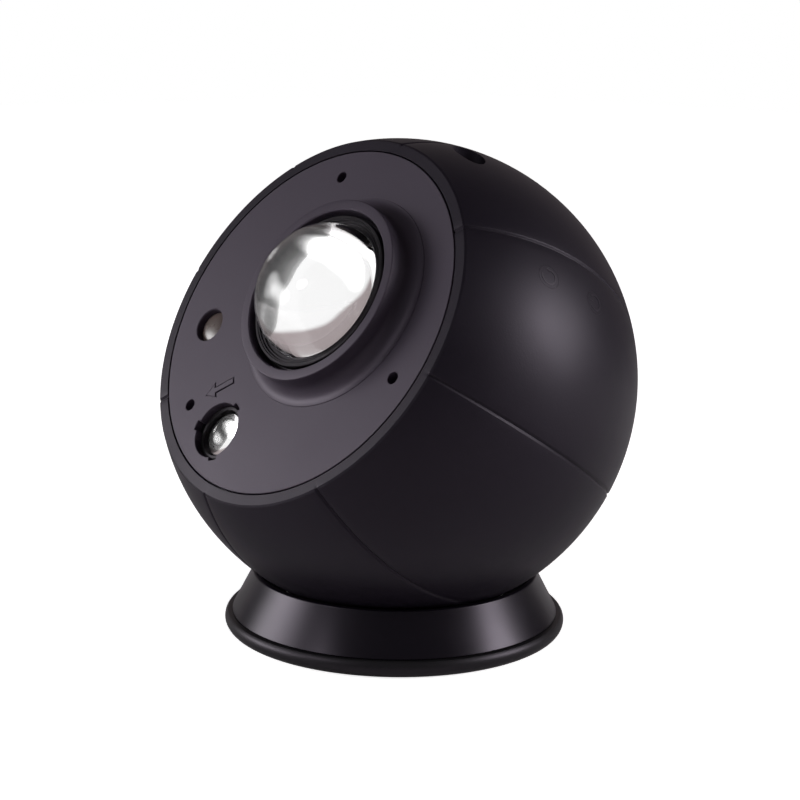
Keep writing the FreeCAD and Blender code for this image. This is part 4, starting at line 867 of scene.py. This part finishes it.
def make_meteor_cell():
    radius, bore, front, length = 8.55, 7.4, face_height - 2.2, 9.4
    lens_front, lens_side, lens_rise = face_height - 5.2, 1.8, 4.0
    seat, seat_bore = lens_front - lens_side, bore - 1.1
    edge = 0.15
    tab_reach, tab_half, tab_thickness, tab_turn = 9.7, 1.4, 1.5, 40.0
    mesh = bmesh.new()
    outline = [(bore, front - edge), (bore + edge, front), (radius - edge, front), (radius, front - edge),
               (radius, front - length), (seat_bore, front - length), (seat_bore, seat), (bore, seat)]
    spin_outline(mesh, outline, 128, *meteor_centre)
    top = plate_back - 0.1
    for notch in meteor_notch_angles:
        sector_block(mesh, radius - 0.5, tab_reach, tab_half, notch - tab_turn, top - tab_thickness, top)
    made = to_object("bayonet_cell", mesh)
    finish_piece(made, "meteor_cell", "barrel_black", ["meteor_cell"])
    lens_gap = 0.1
    outline = [(0.0, seat), (bore - lens_gap, seat), (bore - lens_gap, lens_front)]
    outline += dome(bore - 2 * lens_gap, lens_rise, lens_front, 30)
    turned_piece("bayonet_lens", outline, "meteor_cell", "lens_clear", ["meteor_lens"], "optic",
                 128, *meteor_centre)


# ---- focusing barrel and its lens
barrel_radius = 25.5
barrel_front = face_height + 7.3
barrel_rear = barrel_front - 24.0
barrel_nose_radius = 24.6
lens_bore_radius = 23.6
lens_rim_z = barrel_front - 1.3
lens_dome_radius = 21.15
lens_dome_height = 16.9
lens_edge = 2.5
lens_back_hollow = 1.6
retainer_height = 1.05
retainer_steps = 3
retainer_groove = 0.35
retainer_groove_depth = 0.25


def retainer_outline():
    """Ring over the lens's edge that falls towards the dome in steps, with a groove at the foot of each."""
    inner, outer = lens_dome_radius + 0.1, lens_bore_radius - 0.05
    tread, rise = (outer - inner) / retainer_steps, retainer_height / retainer_steps
    nose = 0.1
    outline = [(inner, lens_rim_z), (outer, lens_rim_z)]
    for i in range(retainer_steps):
        height = lens_rim_z + retainer_height - i * rise
        end = outer - (i + 1) * tread
        last = i == retainer_steps - 1
        side = end if last else end + retainer_groove
        outline += [(outer - i * tread, height), (side + nose, height), (side, height - nose)]
        if not last:
            floor = height - rise - retainer_groove_depth
            outline += [(side, floor), (end, floor)]
    return outline


def make_focus_barrel():
    nose_back = barrel_front - 2.6
    seat_z, seat_bore = lens_rim_z - lens_edge, lens_bore_radius - 1.9
    rear_bore, rear_front = 17.5, barrel_front - 13.5
    waist, waist_height = rear_bore - 1.6, 1.2
    edge, lip = 0.2, 0.15
    outline = [(lens_bore_radius, barrel_front - lip), (lens_bore_radius + lip, barrel_front),
               (barrel_nose_radius - edge, barrel_front), (barrel_nose_radius, barrel_front - edge),
               (barrel_nose_radius, nose_back + edge), (barrel_radius - edge, nose_back),
               (barrel_radius, nose_back - edge), (barrel_radius, barrel_rear), (rear_bore, barrel_rear),
               (rear_bore, rear_front), (waist, rear_front), (waist, rear_front + waist_height),
               (seat_bore, seat_z - 2), (seat_bore, seat_z), (lens_bore_radius, seat_z)]
    turned_piece("focus_barrel_body", outline, "focus_barrel", "barrel_black",
                 ["focus_barrel"], "barrel_plastic", y=lens_offset)
    turned_piece("front_lens_ring", retainer_outline(), "focus_barrel", "barrel_black",
                 ["front_lens_retainer"], "barrel_plastic", y=lens_offset, crease=20.0)
    back_radius, lens_radius = seat_bore - 0.4, lens_bore_radius - 0.1
    outline = [(back_radius * i / 24, seat_z + lens_back_hollow * (1 - (i / 24) ** 2)) for i in range(25)]
    outline += [(lens_radius, seat_z), (lens_radius, lens_rim_z)]
    outline += dome(lens_dome_radius, lens_dome_height, lens_rim_z, 48)
    turned_piece("front_lens_dome", outline, "focus_barrel", "dome_clear", ["front_lens"], "optic",
                 y=lens_offset)


# ---- push buttons
button_flange = 1.2
button_flange_edge = button_spacing / 2 + button_radius + button_flange
button_flange_top = math.sqrt(shell_inner_radius ** 2 - button_flange_edge ** 2) - 0.6
button_edge = 0.03
symbol_radius = 2.4
symbol_half_line = 0.2
symbol_rise = 0.09
symbol_foot = 0.05


def on_cap(along, x, y, rise):
    """A point over the ball's surface, in the frame of the button at this place along the pair."""
    return Vector((x, y, math.sqrt(ball_radius ** 2 - (along + x) ** 2 - y ** 2) + rise))


def raised_line(mesh, path, along):
    """A thin line of the symbol: follows the path, its foot let into the cap."""
    rings = []
    for i, point in enumerate(path):
        before, after = path[max(i - 1, 0)], path[min(i + 1, len(path) - 1)]
        run = Vector((after[0] - before[0], after[1] - before[1])).normalized() * symbol_half_line
        sides = [(point[0] - run.y, point[1] + run.x), (point[0] + run.y, point[1] - run.x)]
        low = [on_cap(along, *side, -symbol_foot) for side in sides]
        high = [on_cap(along, *side, symbol_rise) for side in reversed(sides)]
        rings.append([mesh.verts.new(place) for place in low + high])
    bridge(mesh, rings)
    mesh.faces.new(rings[0])
    mesh.faces.new(rings[-1])


def open_ring(gap_turn, gap_half):
    return arc(0.0, 0.0, symbol_radius, gap_turn + gap_half, gap_turn + 360.0 - gap_half, 40)


def power_lines():
    """A ring open at one side and a bar standing in the gap."""
    bar = [(-1.0, 0.0), (-2.0, 0.0), (-3.0, 0.0)]
    return [open_ring(gap_turn=180.0, gap_half=38.0), bar]


def rotation_lines():
    """A ring open at one side, one end of it with an arrow head."""
    gap_turn, gap_half, barb_length = 135.0, 30.0, 1.1
    ring = open_ring(gap_turn, gap_half)
    tip = ring[-1]
    barbs = [on_circle(barb_length, gap_turn - gap_half - 90.0 + lean, *tip) for lean in (-40.0, 40.0)]
    return [ring, [barbs[0], tip, barbs[1]]]


def cap_place(along):
    frame_turn = Matrix((button_away, button_across, button_axis)).transposed().to_4x4()
    return Matrix.Translation(button_away * along) @ frame_turn


def make_symbol(name, along, body, lines):
    mesh = bmesh.new()
    for line in lines:
        raised_line(mesh, line, along)
    mesh.transform(cap_place(along))
    finish_piece(to_object(name, mesh, crease=30.0, weld=0.00002), body, "symbol_grey")


def make_button(name, along, body):
    """Cap flush with the ball, its flange under the shell and its stem; the top follows the ball's curve."""
    under = button_flange_top - 1.0
    stem_radius, stem_end = 1.5, under - 2.7
    flange_radius = button_radius + button_flange
    outline = [(0.0, stem_end), (stem_radius, stem_end), (stem_radius, under), (flange_radius, under),
               (flange_radius, button_flange_top), (button_radius, button_flange_top)]
    top_start = ball_radius - 2.0
    outline += [(button_radius, top_start - button_edge), (button_radius - button_edge, top_start)]
    outline += [(button_radius * share, top_start) for share in (0.85, 0.7, 0.55, 0.4, 0.25, 0.12, 0.0)]
    mesh = bmesh.new()
    spin_outline(mesh, outline, 96)
    for vert in mesh.verts:
        drop = top_start - vert.co.z
        if drop < button_edge + 0.01:
            level = math.sqrt(ball_radius ** 2 - (along + vert.co.x) ** 2 - vert.co.y ** 2)
            vert.co.z = level - drop
    mesh.transform(cap_place(along))
    finish_piece(to_object(name, mesh), body, "ball_black", [body])


def make_buttons():
    """Each button's body is named as its node."""
    for use, side, lines in (("power", 1, power_lines()), ("rotation", -1, rotation_lines())):
        along = side * button_spacing / 2
        make_button(use + "_cap", along, use + "_button")
        make_symbol(use + "_mark", along, use + "_button", lines)


# ---- power inlet
def make_power_inlet():
    """Barrel socket: square body behind the pad, round nose through it, hollow mouth with a centre pin."""
    back = inlet_floor - inlet_pad_thickness
    front = inlet_floor + 0.6
    nose_radius, edge = 4.0, 0.2
    mouth_radius, mouth_floor = 2.85, front - 9.0
    pin_radius, pin_end, pin_tip = 1.05, front - 1.9, 0.3
    body_half, body_length = 4.8, 12.0
    turn = inlet_axis.to_track_quat("Z", "Y").to_matrix().to_4x4()
    outline = [(nose_radius, back), (nose_radius, front - edge), (nose_radius - edge, front),
               (mouth_radius + edge, front), (mouth_radius, front - edge), (mouth_radius, mouth_floor),
               (pin_radius, mouth_floor), (pin_radius, pin_end), (pin_radius - pin_tip, pin_end + pin_tip)]
    mesh = bmesh.new()
    nose = spin_outline(mesh, outline, 64, closed=False)
    fill_between(mesh, [nose[-1]])
    corners = [(a * body_half, b * body_half) for a, b in ((1, 1), (-1, 1), (-1, -1), (1, -1))]
    top, bottom = ring_of(mesh, corners, back), ring_of(mesh, corners, back - body_length)
    bridge(mesh, [top, bottom])
    fill_between(mesh, [top, nose[0]])
    fill_between(mesh, [bottom])
    mesh.transform(turn)
    made = to_object("power_socket", mesh)
    finish_piece(made, "ball", "package_black", ["power_inlet"])


# ---- base
bead_radius = 2.94
bead_lean = 48.0
bead_top = bead_radius * (1 + math.sin(math.radians(bead_lean)))
cone_height = 13.2
cone_spread = 6.44
cone_wall = 2.4
rim_wall = 1.69
rim_edge = 0.6
rim_top = bead_top + cone_height
seat_radius = 42.5
liner_width = 1.1
liner_height = 3.0
liner_top = rim_top - 0.63
liner_bottom = liner_top - liner_height
liner_outer = seat_radius + liner_width
rim_inner = liner_outer + 0.3
top_radius = rim_inner + rim_wall
foot_radius = top_radius + cone_spread
ledge_top = liner_bottom - 0.1
ledge_bottom = ledge_top - 2.0
skirt_bottom = 1.8
skirt_outer = foot_radius - 1.2
skirt_inner = skirt_outer - 2.0
gusset_count = 10
gusset_half = 0.8
gusset_drop = 5.5


def ball_section(z, radius):
    """Radius at a height above the table of a sphere about the ball's centre."""
    return math.sqrt(radius ** 2 - (ball_centre.z / MM - z) ** 2)


ledge_inner = ball_section(ledge_top, ball_radius) + 0.6
wall_at_ledge = top_radius + cone_spread / cone_height * (rim_top - ledge_bottom) - cone_wall
wall_at_foot = foot_radius - cone_wall


def make_gussets():
    """Webs between the cone's wall and the ledge under the seat."""
    low = ledge_bottom - gusset_drop
    corners = [(ledge_inner + 1.0, ledge_bottom + 0.5), (wall_at_ledge + 1.0, ledge_bottom + 0.5),
               (wall_at_foot + 1.0, low), (wall_at_foot - 1.0, low)]
    mesh = bmesh.new()
    sides = [[mesh.verts.new((r, y, z)) for r, z in corners] for y in (-gusset_half, gusset_half)]
    bridge(mesh, sides)
    for side in sides:
        mesh.faces.new(side)
    turn = (0, 0, 2 * math.pi / gusset_count)
    return repeat_piece("gussets", to_object("gusset", mesh), [(0, 0, 0)] * gusset_count, turn, "base_black")


def make_cone():
    foot_round, foot_cut, edge, wall_drop = 0.4, 0.12, 0.1, 0.4
    outline = [(skirt_inner, skirt_bottom), (skirt_outer, skirt_bottom), (skirt_outer, bead_top),
               (foot_radius - foot_round, bead_top), (foot_radius - foot_cut, bead_top + foot_cut),
               (foot_radius, bead_top + foot_round)]
    outline += arc(top_radius - rim_edge, rim_top - rim_edge, rim_edge, 10, 90, 6)
    outline += [(rim_inner + edge, rim_top), (rim_inner, rim_top - edge), (rim_inner, ledge_top),
                (ledge_inner, ledge_top), (ledge_inner, ledge_bottom), (wall_at_ledge, ledge_bottom),
                (wall_at_foot, bead_top), (skirt_inner, bead_top - wall_drop)]
    mesh = bmesh.new()
    spin_outline(mesh, outline, 192)
    cone = to_object("base_cone", mesh)
    join(cone, [make_gussets()])
    finish_piece(cone, "base", "base_black", ["base_ring"])


def make_foot():
    outer, inner, height = skirt_outer + 0.1, skirt_inner - 0.1, 4.2
    wall = inner - 1.7
    outline = [(wall, 0.0)] + arc(foot_radius - 0.54, bead_radius, bead_radius, -90, bead_lean, 20)
    outline += [(outer, bead_top), (outer, skirt_bottom), (inner, skirt_bottom), (inner, height),
                (wall, height)]
    turned_piece("foot_bead", outline, "base", "foot_rubber", ["foot_ring"], "foot_rubber")


def make_seat():
    """Soft liner whose inside follows the ball at a small distance."""
    edge, top_gap, ball_gap = 0.2, 0.15, 0.3
    outline = [(liner_outer, liner_bottom), (liner_outer, liner_top - edge),
               (liner_outer - edge, liner_top), (seat_radius + top_gap, liner_top)]
    levels = [liner_top - 0.1] + [liner_top - liner_height * i / 8 for i in range(1, 9)]
    outline += [(ball_section(z, ball_radius + ball_gap), z) for z in levels]
    turned_piece("soft_seat", outline, "seat", "liner_black", ["seat_liner"], "liner")


make_shells()
make_screws()
make_face_plate()
make_arrow()
make_receiver_window()
make_meteor_cell()
make_focus_barrel()
make_buttons()
make_power_inlet()
make_cone()
make_foot()
make_seat()


# ---- camera, floor and light
view_distance = 580.0
view_elevation = 11.71
view_azimuth = 47.33
view_roll = 0.85
aim_right, aim_up = 0.83, -6.69         # from the ball's centre, in millimetres
focal_pixels = 1842.98
frame_pixels = 800


def make_camera():
    az, el, roll = (math.radians(a) for a in (view_azimuth, view_elevation, view_roll))
    back = Vector((math.sin(az) * math.cos(el), -math.cos(az) * math.cos(el), math.sin(el)))
    right = Vector((math.cos(az), math.sin(az), 0.0))
    up = back.cross(right)
    target = ball_centre + (right * aim_right + up * aim_up) * MM
    rolled_right = right * math.cos(roll) + up * math.sin(roll)
    rolled_up = up * math.cos(roll) - right * math.sin(roll)
    lens = bpy.data.cameras.new("view")
    lens.sensor_fit = "HORIZONTAL"
    lens.sensor_width = 36.0
    lens.lens = focal_pixels / frame_pixels * lens.sensor_width
    lens.clip_start = 0.01
    camera = add_object("view", lens)
    turn = Matrix((rolled_right, rolled_up, back)).transposed().to_4x4()
    camera.matrix_world = Matrix.Translation(target + back * view_distance * MM) @ turn
    bpy.context.scene.camera = camera


def soft_box(name, place, width, height, power, fade):
    """An area lamp aimed at the ball; towards its edges the light fades over this share of its width."""
    light = bpy.data.lights.new(name, "AREA")
    light.shape = "RECTANGLE"
    light.size, light.size_y = width, height
    light.energy = power
    light.use_nodes = True
    tree = light.node_tree
    spot = tree.nodes.new("ShaderNodeNewGeometry")
    from_middle = vector_math(tree, "SUBTRACT", spot.outputs["Parametric"], (0.5, 0.5, 0.0))
    distance = vector_math(tree, "LENGTH", from_middle)
    tree.links.new(smooth_step(tree, distance, 0.5, 0.5 - fade), tree.nodes["Emission"].inputs["Strength"])
    lamp = add_object(name, light)
    lamp.location = place
    lamp.rotation_euler = (ball_centre - Vector(place)).to_track_quat("-Z", "Y").to_euler()


def light_path(tree):
    """The light path, and 1 where it comes from the camera, straight or through glass."""
    path = tree.nodes.new("ShaderNodeLightPath")
    seen = arithmetic(tree, "MAXIMUM", path.outputs["Is Camera Ray"], path.outputs["Is Transmission Ray"])
    return path, seen


floor_colour = (0.88, 0.84, 0.86, 1.0)
floor_glow_near, floor_glow_gain = 0.81, 0.14
floor_near, floor_far = 0.15, 0.6       # metres from the middle
ring_opening = (0.046, 0.048)           # no glow inside the ring


def make_floor():
    """Pale floor that keeps the object's shadow and rises to white for the camera with distance."""
    mesh = bmesh.new()
    bmesh.ops.create_grid(mesh, x_segments=1, y_segments=1, size=3.0)
    data = bpy.data.meshes.new("floor")
    mesh.to_mesh(data)
    mesh.free()
    floor = add_object("floor", data)
    material, tree, shader, place = node_material("floor_white")
    preset(shader, Base_Color=floor_colour, Roughness=1.0, Specular_IOR_Level=0.0)
    glow = new_node(tree, "ShaderNodeEmission", Color=(1.0, 1.0, 1.0, 1.0))
    seen = light_path(tree)[1]
    distance = vector_math(tree, "LENGTH", place.outputs["Object"])
    outside_ring = smooth_step(tree, distance, *ring_opening)
    far = smooth_step(tree, distance, floor_near, floor_far)
    level = arithmetic(tree, "MULTIPLY_ADD", far, floor_glow_gain, floor_glow_near)
    level = arithmetic(tree, "MULTIPLY", arithmetic(tree, "MULTIPLY", seen, level), outside_ring)
    tree.links.new(level, glow.inputs["Strength"])
    both = tree.nodes.new("ShaderNodeAddShader")
    tree.links.new(shader.outputs[0], both.inputs[0])
    tree.links.new(glow.outputs[0], both.inputs[1])
    tree.links.new(both.outputs[0], tree.nodes["Material Output"].inputs["Surface"])
    data.materials.append(material)


room_light = 0.12
room_white, room_grey = (1.0, 1.0, 1.0), (0.40, 0.345, 0.35)
grey_from, grey_to = -0.27, -0.19       # the direction's y, where white gives way to grey
backdrop_from, backdrop_to = 0.55, 0.9  # the direction's share away from the camera
backdrop_gloss = 0.5


def make_world():
    """Dim studio, white for the camera; through glass its front half is white and the rest a warm grey.

    Glossy surfaces show the grey as well, where the backdrop stands behind the object."""
    world = bpy.data.worlds.new("studio")
    bpy.context.scene.world = world
    world.use_nodes = True
    tree = world.node_tree
    ground = tree.nodes["Background"]
    way = tree.nodes.new("ShaderNodeTexCoord")
    part = tree.nodes.new("ShaderNodeSeparateXYZ")
    tree.links.new(way.outputs["Generated"], part.inputs[0])
    path, seen = light_path(tree)
    rear = smooth_step(tree, part.outputs["Y"], grey_from, grey_to)
    rear = arithmetic(tree, "SUBTRACT", rear, path.outputs["Is Camera Ray"])
    tree.links.new(blend_colours(tree, rear, room_white, room_grey), ground.inputs["Color"])
    turn = math.radians(view_azimuth)
    away = vector_math(tree, "DOT_PRODUCT", way.outputs["Generated"], (-math.sin(turn), math.cos(turn), 0.0))
    backdrop = smooth_step(tree, away, backdrop_from, backdrop_to)
    gloss = arithmetic(tree, "MULTIPLY", backdrop, backdrop_gloss)
    gloss = arithmetic(tree, "MULTIPLY", path.outputs["Is Glossy Ray"], gloss)
    level = new_node(tree, "ShaderNodeMapRange", To_Min=room_light, To_Max=1.0)
    tree.links.new(arithmetic(tree, "MAXIMUM", seen, gloss), level.inputs["Value"])
    tree.links.new(level.outputs["Result"], ground.inputs["Strength"])


make_camera()
make_floor()
make_world()
soft_box("left_box", (-0.80, -0.80, 0.32), 1.2, 0.6, power=25.0, fade=0.4)
soft_box("right_box", (0.85, 0.68, 0.50), 0.6, 0.7, power=21.0, fade=0.3)
soft_box("front_box", (-0.18, -1.10, 0.75), 0.4, 0.4, power=4.5, fade=0.3)
bpy.context.scene.view_settings.view_transform = "Standard"
